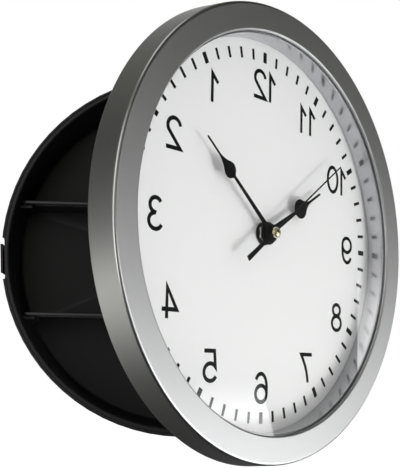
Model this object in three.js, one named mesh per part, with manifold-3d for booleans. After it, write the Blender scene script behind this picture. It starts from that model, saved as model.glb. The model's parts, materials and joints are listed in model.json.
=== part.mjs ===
// Round wall clock with a hidden safe behind it.
// The clock is the door: it swings on two pinned hinges in front of a shallow round tub with two shelves.
// Millimetres. +Z is up and the clock faces -Y. The origin is the centre of the tub's flat rear face.
// The door is drawn closed and then turned about the hinge line to the angle where it rests.

import * as THREE from 'three';
import { mergeVertices } from 'three/addons/utils/BufferGeometryUtils.js';
import Module from 'manifold-3d';

const wasm = await Module();
wasm.setup();

// Resting angle of the door, measured from closed
const openAngleDeg = 45;

// Clearances
const seatGap = 0.3;
const runGap = 0.4;
const cutOverrun = 1;

// Tub: a drafted cup with a flange round its mouth
const tubDepth = 46;
const mouthRadius = 114.4;
const wallDraft = 1.8;
const flangeWidth = 4.6;
const wallThickness = 2.2;
const backThickness = 2;
const flangeDepth = 4;
const rearRound = 3;
const floorRound = 2.5;
const rimChamfer = 0.7;
const rimGrooveInset = 2;
const rimGrooveWidth = 1.2;
const rimGrooveDepth = 1;

// Keyhole hanger near the top of the tub's back
const keyholeDrop = 30.4;
const keyholeHeadRadius = 4.5;
const keyholeSlotRadius = 2.3;
const keyholeSlotLength = 9;
const keyholePadRadius = 15;
const keyholePadThickness = 1.8;

// Shelves, clear of the movement that swings in between them, and the ledges that carry them
const upperShelfClearance = 3.5;
const lowerShelfClearance = 13.5;
const shelfThickness = 2.3;
const shelfSetback = 10;
const shelfCornerRadius = 3;
const shelfLipDrop = 1.4;
const shelfLipDepth = 1.8;
const ledgeWidth = 6;
const ledgeThickness = 1.8;
const ledgeSetback = 4;

// Hinges: two stations, each with two ears on the tub and a knuckle on the door
const hingeStandoff = 2.6;
const hingeSetback = 4.2;
const hingeSpacing = 54;
const barrelRadius = 2.6;
const pinRadius = 1.2;
const pinHeadRadius = 2.1;
const pinHeadThickness = 1;
const knuckleLength = 10;
const earThickness = 5;
const earDepth = 9;

// Latch tongue: a springy finger outside the tub, in a gap of the flange
const latchHeight = -7;
const tongueWidth = 18.6;
const tongueNotch = 4.2;
const tongueProud = 0.5;
const tongueHeadThickness = 1.5;
const tongueHeadLength = 4.6;
const tongueThickness = 1.3;
const tongueLength = 32;
const tongueRootLength = 7;

// Bezel: the silver ring of the door, which laps over the tub's flange
const bezelLap = 8;
const bezelOverlap = 3;
const bezelDraft = 2;
const bezelFaceWidth = 15;
const bezelFaceThickness = 2.4;
const bezelLipThickness = 1.4;
const bezelBead = 1.1;
const bezelSkirtThickness = 2.4;
const bezelEdgeRound = 0.5;
const seatRibInset = 2.6;
const seatRibThickness = 1.8;
const seatRibDepth = 5;

// Lens and the glossy ring between the lens and the dial
const lensThickness = 1.5;
const ringDraft = 0.5;
const ringThickness = 1.6;
const ringFlangeThickness = 1.4;

// Dial
const dialThickness = 0.8;
const dialEdgeGap = 0.6;

// Pan: the black back of the door
const panThickness = 2;
const panFlangeLift = 4.3;
const panFlangeInset = 1.3;
const panWallGap = 0.2;
const panWallThickness = 1.8;
const panRibCount = 8;
const panRibThickness = 1.4;
const panRibHeight = 2.4;
const panRibInset = 4.5;
const panRibStandoff = 5.7;
const keeperInset = 0.5;
const keeperThickness = 1.8;
const keeperLength = 3.4;
const keeperSpanDeg = 12;

// Screws that hold the pan to bosses inside the bezel
const screwCount = 6;
const screwFirstDeg = 30;
const screwRadius = 0.9;
const screwHeadRadius = 1.9;
const screwHeadThickness = 1.2;
const screwLength = 7;
const bossRadius = 2.3;

// Battery, its two contacts and the bay that holds them
const batteryRadius = 7.1;
const batteryLength = 48.6;
const batteryEndRound = 0.71;
const batteryNubRadius = 2.7;
const batteryNubLength = 1.2;
const contactThickness = 0.5;
const contactWidth = 9;
const contactHeight = 11;
const springWireRadius = 0.35;
const springTurns = 3;
const springOuterRadius = 4.2;
const springInnerRadius = 2;
const springLength = 1.3;
const bayClearance = 0.6;
const bayFloor = 1;
const bayEndSpare = 0.1;
const bayDepthSpare = 0.7;
const bayWallThickness = 1.8;
const bayEdge = 3.2;

// Quartz movement behind the pan
const movementCorner = 5;
const movementStep = 0.8;
const movementRearDepth = 6;

// Shaft: fixed threaded bush, hour tube, minute arbor and second arbor, one inside the other
const secondArborRadius = 0.5;
const minuteArborWall = 0.7;
const hourTubeWall = 0.6;
const bushWall = 1;
const bushChamfer = 0.4;
const bushSeat = 1.8;
const bushProud = 3.4;
const nutWall = 1;
const nutThickness = 1.6;
const washerWidth = 2.6;
const washerThickness = 0.5;
const arborStep = 2.4;

// Hands, with the angles that they show, counter-clockwise from twelve as the viewer sees them
const handThickness = 0.5;
const handSpacing = 2;
const capLensGap = 1.3;
const hubThickness = 0.9;
const hourHandAngle = -59;
const minuteHandAngle = 51;
const secondHandAngle = -53.5;
const hourHubRadius = 6.4;
const hourHandLength = 58;
const hourHandRootWidth = 4.2;
const hourHandNeckWidth = 2.2;
const hourHandTipWidth = 1.3;
const hourSpadeRadius = 5.7;
const minuteHubRadius = 5.3;
const minuteHandLength = 70;
const minuteHandRootWidth = 3;
const minuteHandNeckWidth = 1.8;
const minuteHandTipWidth = 1;
const minuteSpadeRadius = 4.6;
const secondHandLength = 82;
const secondHandTail = 27;
const secondHandWidth = 0.9;
const secondTailWidth = 2.6;
const secondHubRadius = 2.6;
const capRadius = 2.7;
const capHeight = 1.9;

// Where a spade and its shoulder lie along a hand, how much the tip swells there, and a cap's straight part
const hourSpadeShare = 0.6034;
const hourShoulderShare = 0.7931;
const minuteSpadeShare = 0.6643;
const minuteShoulderShare = 0.8214;
const shoulderSwellShare = 1.2;
const capBandShare = 0.3333;

// Time-setting knob on the movement's back
const knobRadius = 7.5;
const knobThickness = 3;
const knobToothDepth = 0.6;
const knobTeeth = 20;
const knobStemRadius = 1.6;
const knobStemLength = 3;

// Facet counts, and how near two corners lie when they are one
const roundSteps = 72;
const bezelSteps = 72;
const shaftSteps = 16;
const screwSteps = 10;
const springStepsPerTurn = 8;
const arcSteps = 3;
const mergeDistance = 0.0001;

// Radii of the tub, from its mouth
const rimRadius = mouthRadius + flangeWidth;
const floorRadius = mouthRadius - wallDraft;
const rimGrooveRadius = rimRadius - rimGrooveInset;
const tubWallFront = mouthRadius + wallThickness;
const tubWallRear = floorRadius + wallThickness;
const flangeGapFloor = tubWallFront + seatGap;
const keyholeHeight = mouthRadius - keyholeDrop;

// Radii of the door, from the tub's rim
const bezelRearRadius = rimRadius + bezelLap;
const bezelFrontRadius = bezelRearRadius - bezelDraft;
const bezelInnerRadius = bezelFrontRadius - bezelFaceWidth;
const seatRibRadius = bezelInnerRadius + seatRibInset;
const ringFrontRadius = bezelInnerRadius - seatGap;
const ringRearRadius = ringFrontRadius - ringDraft;
const panWallInner = ringFrontRadius + ringThickness + panWallGap;
const dialRadius = panWallInner - dialEdgeGap;
const panFlangeRadius = bezelRearRadius - bezelSkirtThickness - panFlangeInset;
const screwCircleRadius = rimRadius + screwHeadRadius + seatGap;

// Nested shaft, from its middle outwards
const minuteArborBore = secondArborRadius + runGap;
const minuteArborRadius = minuteArborBore + minuteArborWall;
const hourTubeBore = minuteArborRadius + runGap;
const hourTubeRadius = hourTubeBore + hourTubeWall;
const bushBore = hourTubeRadius + runGap;
const bushRadius = bushBore + bushWall;
const shaftHoleRadius = bushRadius + runGap;
const nutAcross = 2 * (bushRadius + nutWall);
const washerRadius = bushRadius + washerWidth;

// Battery bay and movement case, from the battery
const contactSpace = seatGap + contactThickness + seatGap;
const bayLength = batteryLength + batteryNubLength + springLength + 2 * contactSpace + bayEndSpare;
const bayHalf = batteryRadius + bayClearance;
const movementSize = bayLength + 2 * bayWallThickness;
const movementDepth = bayFloor + bayClearance + 2 * batteryRadius + bayDepthSpare;
const bayOffset = bayEdge + bayHalf - movementSize / 2;
const panRibInner = movementSize / Math.SQRT2 + panRibStandoff;
const panRibOuter = panWallInner - panRibInset;
const upperShelfHeight = movementSize / 2 + upperShelfClearance;
const lowerShelfHeight = -movementSize / 2 - lowerShelfClearance;

// Depths behind the bezel's face, from the lens back to the movement
const lensFrontDepth = bezelLipThickness + seatGap;
const ringFrontDepth = lensFrontDepth + lensThickness + seatGap;
const secondHandDepth = lensFrontDepth + lensThickness + capLensGap + capHeight + seatGap;
const minuteHandDepth = secondHandDepth + handSpacing;
const hourHandDepth = minuteHandDepth + handSpacing;
const dialDepth = hourHandDepth + handThickness + runGap + bushProud;
const dialFrontStack = dialDepth - seatGap - washerThickness;
const panFlangeDepth = dialDepth - panFlangeLift;
const panDepth = dialDepth + dialThickness + seatGap;
const movementFront = panDepth + panThickness + seatGap;
const movementRear = movementFront + movementDepth;
const bezelDepth = panFlangeDepth + panThickness + seatGap + bezelOverlap;

// Places that follow from the sizes above
const rimY = -tubDepth;
const bezelFrontY = rimY + bezelOverlap - bezelDepth;
const hingeX = bezelRearRadius + hingeStandoff;
const hingeY = rimY + hingeSetback;
const hingeHeights = [hingeSpacing / 2, -hingeSpacing / 2];
const latchAngle = Math.asin(latchHeight / rimRadius);

// Depth behind the bezel's front face, as a place on the Y axis with the door closed
function doorY(depth) {
  return bezelFrontY + depth;
}

// Signed volume of an indexed geometry, which is negative when its faces point inwards
function signedVolume(geometry) {
  const position = geometry.attributes.position;
  const index = geometry.index;
  const a = new THREE.Vector3();
  const b = new THREE.Vector3();
  const c = new THREE.Vector3();
  let total = 0;
  for (let i = 0; i < index.count; i += 3) {
    a.fromBufferAttribute(position, index.getX(i));
    b.fromBufferAttribute(position, index.getX(i + 1));
    c.fromBufferAttribute(position, index.getX(i + 2));
    total += a.dot(b.cross(c));
  }
  return total / 6;
}

// Closed indexed geometry with merged corners and faces that point outwards
function closed(source) {
  const bare = source.clone();
  bare.deleteAttribute('normal');
  bare.deleteAttribute('uv');
  const geometry = mergeVertices(bare, mergeDistance);
  if (signedVolume(geometry) < 0) {
    const index = geometry.index;
    for (let i = 0; i < index.count; i += 3) {
      const first = index.getX(i);
      index.setX(i, index.getX(i + 1));
      index.setX(i + 1, first);
    }
  }
  return geometry;
}

function toSolid(source) {
  const geometry = closed(source);
  return new wasm.Manifold(new wasm.Mesh({
    numProp: 3,
    vertProperties: new Float32Array(geometry.attributes.position.array),
    triVerts: new Uint32Array(geometry.index.array),
  }));
}

function toGeometry(solid) {
  const mesh = solid.getMesh();
  const geometry = new THREE.BufferGeometry();
  geometry.setAttribute('position', new THREE.BufferAttribute(mesh.vertProperties, 3));
  geometry.setIndex(new THREE.BufferAttribute(mesh.triVerts, 1));
  geometry.computeVertexNormals();
  return geometry;
}

// One geometry made by joining the first list and cutting away the second
function build(joined, cuts = []) {
  let solid = toSolid(joined[0]);
  for (const geometry of joined.slice(1)) {
    solid = solid.add(toSolid(geometry));
  }
  for (const geometry of cuts) {
    solid = solid.subtract(toSolid(geometry));
  }
  return toGeometry(solid);
}

// The first list joined, kept only where it lies inside or outside the second shape
function trimmed(joined, shape, keepInside) {
  let solid = toSolid(joined[0]);
  for (const geometry of joined.slice(1)) {
    solid = solid.add(toSolid(geometry));
  }
  const other = toSolid(shape);
  return toGeometry(keepInside ? solid.intersect(other) : solid.subtract(other));
}

// Ring or disc about the Y axis from [radius, y] corners that close on themselves or on the axis
function revolve(corners, steps = roundSteps) {
  const points = corners.map(([radius, y]) => new THREE.Vector2(radius, y));
  const onAxis = corners[0][0] === 0 && corners[corners.length - 1][0] === 0;
  if (!onAxis) {
    points.push(points[0].clone());
  }
  return new THREE.LatheGeometry(points, steps);
}

// Corners of a quarter round from one direction to another about a centre
function quarter(centreRadius, centreY, size, fromDeg, toDeg) {
  const corners = [];
  for (let i = 0; i <= arcSteps; i += 1) {
    const angle = THREE.MathUtils.degToRad(fromDeg + (toDeg - fromDeg) * i / arcSteps);
    corners.push([centreRadius + size * Math.cos(angle), centreY + size * Math.sin(angle)]);
  }
  return corners;
}

function box(x0, x1, y0, y1, z0, z1) {
  const geometry = new THREE.BoxGeometry(x1 - x0, y1 - y0, z1 - z0);
  return geometry.translate((x0 + x1) / 2, (y0 + y1) / 2, (z0 + z1) / 2);
}

// Round bar along Y between two places
function barY(radius, y0, y1, steps = shaftSteps) {
  return revolve([[0, y0], [radius, y0], [radius, y1], [0, y1]], steps);
}

// Round bar along Z about a place in the XY plane
function barZ(radius, x, y, z0, z1, steps = shaftSteps) {
  const geometry = new THREE.CylinderGeometry(radius, radius, z1 - z0, steps);
  geometry.rotateX(Math.PI / 2);
  return geometry.translate(x, y, (z0 + z1) / 2);
}

// Plate whose outline lies in the XY plane, from one height to another
function plateZ(outline, z0, z1, curveSteps = arcSteps) {
  const options = { depth: z1 - z0, bevelEnabled: false, curveSegments: curveSteps };
  const geometry = new THREE.ExtrudeGeometry(outline, options);
  return geometry.translate(0, 0, z0);
}

// Plate whose outline is drawn as the viewer in front sees it (right, up), from one y to a larger one
function plateY(outline, y0, y1, curveSteps = arcSteps) {
  const options = { depth: y1 - y0, bevelEnabled: false, curveSegments: curveSteps };
  const geometry = new THREE.ExtrudeGeometry(outline, options);
  geometry.rotateX(Math.PI / 2);
  return geometry.translate(0, y1, 0);
}

function polygon(corners) {
  return new THREE.Shape(corners.map(([x, y]) => new THREE.Vector2(x, y)));
}

function roundedRectangle(width, height, radius) {
  const x = width / 2;
  const y = height / 2;
  const outline = new THREE.Shape();
  outline.moveTo(-x + radius, -y);
  outline.lineTo(x - radius, -y);
  outline.absarc(x - radius, -y + radius, radius, -Math.PI / 2, 0, false);
  outline.lineTo(x, y - radius);
  outline.absarc(x - radius, y - radius, radius, 0, Math.PI / 2, false);
  outline.lineTo(-x + radius, y);
  outline.absarc(-x + radius, y - radius, radius, Math.PI / 2, Math.PI, false);
  outline.lineTo(-x, -y + radius);
  outline.absarc(-x + radius, -y + radius, radius, Math.PI, 1.5 * Math.PI, false);
  return outline;
}

// Half width of the tub's inside at a height and a depth in front of the wall
function innerHalfWidth(height, y) {
  const share = (-y - backThickness) / (tubDepth - backThickness);
  const radius = floorRadius + (mouthRadius - floorRadius) * share;
  return chordHalf(radius, height);
}

// Cup profile: flat back, drafted wall, flange with a groove, rounded mouth and floor
function tubProfile() {
  const flangeRear = rimY + flangeDepth;
  const grooveOuter = rimGrooveRadius + rimGrooveWidth / 2;
  const grooveInner = rimGrooveRadius - rimGrooveWidth / 2;
  return [
    [0, 0],
    ...quarter(tubWallRear - rearRound, -rearRound, rearRound, 90, 0),
    [tubWallFront, flangeRear],
    [rimRadius - rimChamfer, flangeRear],
    [rimRadius, flangeRear - rimChamfer],
    [rimRadius, rimY + rimChamfer],
    [rimRadius - rimChamfer, rimY],
    [grooveOuter, rimY],
    [grooveOuter, rimY + rimGrooveDepth],
    [grooveInner, rimY + rimGrooveDepth],
    [grooveInner, rimY],
    [mouthRadius + rimChamfer, rimY],
    [mouthRadius, rimY + rimChamfer],
    ...quarter(floorRadius - floorRound, -backThickness - floorRound, floorRound, 0, 90),
    [0, -backThickness],
  ];
}

// Everything inside the middle of the tub's wall, which trims what is joined to the wall
function wallCore() {
  const half = wallThickness / 2;
  return revolve([
    [0, -backThickness / 2],
    [floorRadius + half, -backThickness / 2],
    [mouthRadius + half, rimY - cutOverrun],
    [0, rimY - cutOverrun],
  ]);
}

// Half width at a height of a round edge
function chordHalf(radius, height) {
  return Math.sqrt(radius * radius - height * height);
}

// Ear outline: a barrel round the pin and a web back to the tub's wall
function earOutline(rootX) {
  const outline = new THREE.Shape();
  const frontY = hingeY - seatGap;
  outline.moveTo(rootX, frontY);
  outline.lineTo(hingeX - barrelRadius, frontY);
  outline.absarc(hingeX, hingeY, barrelRadius, Math.PI, 2.5 * Math.PI, false);
  outline.lineTo(rootX, frontY + earDepth);
  return outline;
}

function hingeEars() {
  const ears = [];
  const start = knuckleLength / 2 + seatGap;
  for (const height of hingeHeights) {
    for (const side of [1, -1]) {
      const near = height + side * start;
      const far = height + side * (start + earThickness);
      const reach = Math.max(Math.abs(near), Math.abs(far));
      const rootX = chordHalf(tubWallFront, reach) - wallThickness;
      ears.push(plateZ(earOutline(rootX), Math.min(near, far), Math.max(near, far)));
    }
  }
  return trimmed(ears, wallCore(), false);
}

function hingeHoles() {
  const half = knuckleLength / 2 + earThickness + cutOverrun;
  return hingeHeights.map((height) => (
    barZ(pinRadius + seatGap, hingeX, hingeY, height - half, height + half)
  ));
}

// Ledge under each end of a shelf, trimmed to the curve of the wall
function shelfLedges() {
  const ledges = [];
  for (const height of [upperShelfHeight, lowerShelfHeight]) {
    const top = height - shelfThickness / 2 - seatGap;
    const front = rimY + shelfSetback + ledgeSetback;
    const outer = innerHalfWidth(top, front) + wallThickness;
    const inner = innerHalfWidth(top, 0) - ledgeWidth;
    for (const side of [1, -1]) {
      const x0 = Math.min(side * inner, side * outer);
      const x1 = Math.max(side * inner, side * outer);
      ledges.push(box(x0, x1, front, 0, top - ledgeThickness, top));
    }
  }
  return trimmed(ledges, wallCore(), true);
}

function keyholeOutline() {
  const head = keyholeHeadRadius;
  const slot = keyholeSlotRadius;
  const angle = Math.asin(slot / head);
  const outline = new THREE.Shape();
  outline.absarc(0, 0, head, Math.PI / 2 + angle, 2.5 * Math.PI - angle, false);
  outline.absarc(0, keyholeSlotLength, slot, 0, Math.PI, false);
  return outline;
}

// A piece drawn at the middle of the left side, swung round to the latch's height
function atLatch(geometry) {
  return geometry.rotateY(latchAngle);
}

function makeTub() {
  const padFront = -backThickness - keyholePadThickness;
  const pad = barY(keyholePadRadius, padFront, -backThickness / 2, roundSteps / 2);
  pad.translate(0, 0, keyholeHeight);
  const keyhole = plateY(keyholeOutline(), padFront - cutOverrun, cutOverrun, arcSteps * 2);
  keyhole.translate(0, 0, keyholeHeight);
  const gapHalf = tongueWidth / 2 + tongueNotch;
  const gap = box(-rimRadius - cutOverrun, -flangeGapFloor,
    rimY - cutOverrun, rimY + flangeDepth + cutOverrun, -gapHalf, gapHalf);
  const rootFront = rimY + tongueHeadLength + tongueLength - tongueRootLength;
  const latchPad = atLatch(box(-tongueInnerX() + seatGap, -tubWallRear + wallThickness / 2,
    rootFront, rootFront + tongueRootLength, -tongueWidth / 2, tongueWidth / 2));
  return build(
    [revolve(tubProfile()), pad, hingeEars(), shelfLedges(), latchPad],
    [keyhole, ...hingeHoles(), atLatch(gap)],
  );
}

// Shelf with rounded front corners and a short lip turned down along its front edge
function makeShelf(height) {
  const highest = Math.abs(height) + shelfThickness / 2;
  const rear = -backThickness - seatGap;
  const front = rimY + shelfSetback;
  const rearHalf = innerHalfWidth(highest, rear - floorRound) - floorRound;
  const midHalf = innerHalfWidth(highest, rear - floorRound) - seatGap;
  const frontHalf = innerHalfWidth(highest, front) - seatGap;
  const outline = new THREE.Shape();
  outline.moveTo(-rearHalf, rear);
  outline.lineTo(-midHalf, rear - floorRound);
  outline.lineTo(-frontHalf, front + shelfCornerRadius);
  outline.quadraticCurveTo(-frontHalf, front, -frontHalf + shelfCornerRadius, front);
  outline.lineTo(frontHalf - shelfCornerRadius, front);
  outline.quadraticCurveTo(frontHalf, front, frontHalf, front + shelfCornerRadius);
  outline.lineTo(midHalf, rear - floorRound);
  outline.lineTo(rearHalf, rear);
  const bottom = height - shelfThickness / 2;
  const plate = plateZ(outline, bottom, height + shelfThickness / 2);
  const lipHalf = innerHalfWidth(highest + shelfLipDrop, front) - shelfCornerRadius - ledgeWidth;
  const lip = box(-lipHalf, lipHalf, front, front + shelfLipDepth, bottom - shelfLipDrop, height);
  return build([plate, lip]);
}

function makeHingePin(height) {
  const reach = knuckleLength / 2 + seatGap + earThickness;
  const headBottom = height + reach + seatGap;
  const stem = barZ(pinRadius, hingeX, hingeY, height - reach, headBottom + pinHeadThickness / 2);
  const head = barZ(pinHeadRadius, hingeX, hingeY, headBottom, headBottom + pinHeadThickness);
  return build([stem, head]);
}

// Inner face of the tongue's arm, measured out from the clock's axis
function tongueInnerX() {
  return rimRadius + tongueProud - tongueHeadThickness;
}

// Tongue: a thick head in the flange gap, a thin arm along the wall and a root seated on the tub's pad
function makeLatchTongue() {
  const outer = rimRadius + tongueProud;
  const inner = tongueInnerX();
  const headEnd = rimY + tongueHeadLength;
  const armEnd = headEnd + tongueLength;
  const outline = polygon([
    [-outer + rimChamfer, rimY],
    [-inner, rimY],
    [-inner, armEnd],
    [-inner - tongueThickness, armEnd],
    [-inner - tongueThickness, headEnd + rimChamfer],
    [-outer, headEnd],
    [-outer, rimY + rimChamfer],
  ]);
  return atLatch(build([plateZ(outline, -tongueWidth / 2, tongueWidth / 2)]));
}

// Bezel profile: flat face, rolled lip and bead, drafted skirt, and a rib that centres the lens
function bezelProfile() {
  const front = doorY(0);
  const rear = doorY(bezelDepth);
  const ribOuter = seatRibRadius + seatRibThickness;
  const faceBack = doorY(bezelFaceThickness);
  const skirtInner = bezelFrontRadius - bezelSkirtThickness;
  return [
    [bezelInnerRadius, doorY(bezelLipThickness)],
    ...quarter(bezelInnerRadius + bezelEdgeRound, front + bezelEdgeRound, bezelEdgeRound, 180, 270),
    [bezelFrontRadius - bezelBead, front],
    [bezelFrontRadius - bezelBead / 2, front + bezelEdgeRound / 2],
    [bezelFrontRadius, front + bezelBead],
    [bezelRearRadius, rear - bezelEdgeRound],
    [bezelRearRadius - bezelEdgeRound, rear],
    [bezelRearRadius - bezelSkirtThickness, rear],
    [skirtInner, faceBack],
    [ribOuter, faceBack],
    [ribOuter, doorY(seatRibDepth)],
    [seatRibRadius, doorY(seatRibDepth)],
    [seatRibRadius, doorY(bezelLipThickness)],
  ];
}

function screwAngles() {
  const angles = [];
  for (let i = 0; i < screwCount; i += 1) {
    angles.push(THREE.MathUtils.degToRad(screwFirstDeg + 360 * i / screwCount));
  }
  return angles;
}

function onScrewCircle(geometry, angle) {
  const x = screwCircleRadius * Math.cos(angle);
  const z = screwCircleRadius * Math.sin(angle);
  return geometry.translate(x, 0, z);
}

function makeBezel() {
  const bossEnd = doorY(panFlangeDepth) - seatGap;
  const bosses = screwAngles().map((angle) => (
    onScrewCircle(barY(bossRadius, doorY(bezelFaceThickness / 2), bossEnd, screwSteps), angle)
  ));
  const pilotStart = doorY(panFlangeDepth + panThickness - screwLength) - seatGap;
  const pilots = screwAngles().map((angle) => (
    onScrewCircle(barY(screwRadius + seatGap, pilotStart, bossEnd + cutOverrun, screwSteps), angle)
  ));
  const slotHalf = knuckleLength / 2 + runGap;
  const slotStart = chordHalf(bezelFrontRadius, hingeHeights[0] + slotHalf) - 2 * bezelSkirtThickness;
  const slots = hingeHeights.map((height) => (
    box(slotStart, bezelRearRadius + cutOverrun, doorY(panFlangeDepth) - runGap,
      doorY(bezelDepth) + cutOverrun, height - slotHalf, height + slotHalf)
  ));
  return build([revolve(bezelProfile(), bezelSteps), ...bosses], [...pilots, ...slots]);
}

function makeLens() {
  const front = doorY(lensFrontDepth);
  const radius = seatRibRadius - seatGap;
  return build([barY(radius, front, front + lensThickness, bezelSteps)]);
}

// Glossy ring: a flange behind the lens and a slightly drafted sleeve down to the dial
function makeInnerRing() {
  const front = doorY(ringFrontDepth);
  const rear = doorY(dialDepth) - seatGap;
  const flangeRear = front + ringFlangeThickness;
  return build([revolve([
    [ringFrontRadius, front],
    [seatRibRadius - seatGap, front],
    [seatRibRadius - seatGap, flangeRear],
    [ringFrontRadius + ringThickness, flangeRear],
    [ringRearRadius + ringThickness, rear],
    [ringRearRadius, rear],
  ], bezelSteps)]);
}

function makeDial() {
  const front = doorY(dialDepth);
  return build([revolve([
    [shaftHoleRadius, front],
    [dialRadius, front],
    [dialRadius, front + dialThickness],
    [shaftHoleRadius, front + dialThickness],
  ])]);
}

// Door knuckle: a barrel round the pin and an arm through the bezel's slot to the pan's flange
function doorKnuckle(height) {
  const armFront = doorY(panFlangeDepth);
  const armRear = armFront + panThickness;
  const rootX = chordHalf(panFlangeRadius, Math.abs(height) + knuckleLength / 2) - panWallThickness;
  const outline = polygon([
    [rootX, armFront],
    [hingeX - barrelRadius / 2, armFront],
    [hingeX + barrelRadius, hingeY - barrelRadius / 2],
    [hingeX, hingeY],
    [hingeX - barrelRadius, hingeY],
    [hingeX - barrelRadius, armRear],
    [rootX, armRear],
  ]);
  const z0 = height - knuckleLength / 2;
  const z1 = height + knuckleLength / 2;
  return [plateZ(outline, z0, z1), barZ(barrelRadius, hingeX, hingeY, z0, z1)];
}

// Keeper lip that the tongue's head bears against when the door is shut
function keeperLip() {
  const inner = rimRadius + tongueProud + keeperInset;
  const outer = inner + keeperThickness;
  const half = THREE.MathUtils.degToRad(keeperSpanDeg / 2);
  const outline = new THREE.Shape();
  outline.absarc(0, 0, outer, Math.PI - half, Math.PI + half, false);
  outline.absarc(0, 0, inner, Math.PI + half, Math.PI - half, true);
  const start = doorY(panFlangeDepth + panThickness / 2);
  const end = doorY(panFlangeDepth + panThickness + keeperLength);
  return atLatch(plateY(outline, start, end, arcSteps * 2));
}

function panRibs() {
  const ribs = [];
  const start = doorY(panDepth + panThickness / 2);
  const end = doorY(panDepth + panThickness + panRibHeight);
  for (let i = 0; i < panRibCount; i += 1) {
    const rib = box(panRibInner, panRibOuter, start, end, -panRibThickness / 2, panRibThickness / 2);
    ribs.push(rib.rotateY(2 * Math.PI * (i + 0.5) / panRibCount));
  }
  return ribs;
}

function makePan() {
  const floorFront = doorY(panDepth);
  const floorRear = floorFront + panThickness;
  const flangeFront = doorY(panFlangeDepth);
  const wallOuter = panWallInner + panWallThickness;
  const cup = revolve([
    [shaftHoleRadius, floorFront],
    [panWallInner, floorFront],
    [panWallInner, flangeFront],
    [panFlangeRadius, flangeFront],
    [panFlangeRadius, flangeFront + panThickness],
    [wallOuter, flangeFront + panThickness],
    [wallOuter, floorRear - rimChamfer],
    [wallOuter - rimChamfer, floorRear],
    [shaftHoleRadius, floorRear],
  ]);
  const holeRear = flangeFront + panThickness + cutOverrun;
  const holes = screwAngles().map((angle) => (
    onScrewCircle(barY(screwRadius + seatGap, flangeFront - cutOverrun, holeRear, screwSteps), angle)
  ));
  const knuckles = hingeHeights.flatMap((height) => doorKnuckle(height));
  return build([cup, ...knuckles, keeperLip(), ...panRibs()], [...holes, ...hingeHoles()]);
}

function makePanScrew(angle) {
  const headFront = doorY(panFlangeDepth + panThickness) + seatGap;
  const stem = barY(screwRadius, headFront - screwLength, headFront + screwHeadThickness / 2, screwSteps);
  const head = revolve([
    [0, headFront],
    [screwHeadRadius, headFront],
    [screwHeadRadius, headFront + screwHeadThickness / 2],
    [screwHeadRadius / 2, headFront + screwHeadThickness],
    [0, headFront + screwHeadThickness],
  ], screwSteps);
  return onScrewCircle(build([stem, head]), angle);
}

// Stepped blind bore for the bush, the hour tube, the minute arbor and the second arbor
function shaftBore() {
  const start = doorY(movementFront);
  const bushEnd = start + bushSeat + seatGap;
  return revolve([
    [0, start - cutOverrun],
    [bushRadius + seatGap, start - cutOverrun],
    [bushRadius + seatGap, bushEnd],
    [hourTubeRadius + seatGap, bushEnd],
    [hourTubeRadius + seatGap, bushEnd + arborStep],
    [minuteArborRadius + seatGap, bushEnd + arborStep],
    [minuteArborRadius + seatGap, bushEnd + arborStep * 2],
    [secondArborRadius + seatGap, bushEnd + arborStep * 2],
    [secondArborRadius + seatGap, bushEnd + arborStep * 3],
    [0, bushEnd + arborStep * 3],
  ], shaftSteps);
}

// Movement case: a rounded box, stepped in towards its back, with an open battery bay
function makeMovementCase() {
  const front = doorY(movementFront);
  const rear = doorY(movementRear);
  const stepY = rear - movementRearDepth;
  const small = movementSize - 2 * movementStep;
  const lower = plateY(roundedRectangle(movementSize, movementSize, movementCorner), front, stepY);
  const upper = plateY(roundedRectangle(small, small, movementCorner), stepY - cutOverrun, rear);
  const bayFront = front + bayFloor;
  const bay = box(-bayLength / 2, bayLength / 2, bayFront, rear + cutOverrun,
    bayOffset - bayHalf, bayOffset + bayHalf);
  const stemHole = barY(knobStemRadius + seatGap, rear - knobStemLength - seatGap, rear + cutOverrun);
  return build([lower, upper], [bay, shaftBore(), stemHole]);
}

function makeBattery() {
  const y = doorY(movementRear) - batteryRadius - bayClearance;
  const half = batteryLength / 2;
  const geometry = revolve([
    [0, -half],
    [batteryRadius - batteryEndRound, -half],
    [batteryRadius, -half + batteryEndRound],
    [batteryRadius, half - batteryEndRound],
    [batteryRadius - batteryEndRound, half],
    [batteryNubRadius, half],
    [batteryNubRadius, half + batteryNubLength],
    [0, half + batteryNubLength],
  ], shaftSteps * 2);
  geometry.rotateZ(-Math.PI / 2);
  return build([geometry.translate(batteryShift(), y, bayOffset)]);
}

// The battery lies off centre, because the spring takes more room than the flat contact
function batteryShift() {
  return bayLength / 2 - contactSpace - batteryNubLength - batteryLength / 2;
}

function makeFlatContact() {
  const y = doorY(movementRear) - batteryRadius - bayClearance;
  const x1 = bayLength / 2 - seatGap;
  return build([box(x1 - contactThickness, x1, y - contactHeight / 2, y + contactHeight / 2,
    bayOffset - contactWidth / 2, bayOffset + contactWidth / 2)]);
}

// Conical coil that presses on the battery's flat end
class ConicalHelix extends THREE.Curve {
  getPoint(t) {
    const angle = 2 * Math.PI * springTurns * t;
    const radius = springOuterRadius + (springInnerRadius - springOuterRadius) * t;
    return new THREE.Vector3(springLength * t, radius * Math.cos(angle), radius * Math.sin(angle));
  }
}

function makeSpringContact() {
  const plateX = seatGap - bayLength / 2;
  const y = doorY(movementRear) - batteryRadius - bayClearance;
  const plate = box(plateX, plateX + contactThickness, y - contactHeight / 2, y + contactHeight / 2,
    bayOffset - contactWidth / 2, bayOffset + contactWidth / 2);
  const section = new THREE.Shape().absarc(0, 0, springWireRadius, 0, 2 * Math.PI, false);
  const options = {
    steps: springTurns * springStepsPerTurn,
    bevelEnabled: false,
    curveSegments: arcSteps,
    extrudePath: new ConicalHelix(),
  };
  const coil = new THREE.ExtrudeGeometry(section, options);
  coil.translate(plateX + contactThickness - springWireRadius / 2, y, bayOffset);
  return build([plate, coil]);
}

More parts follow.
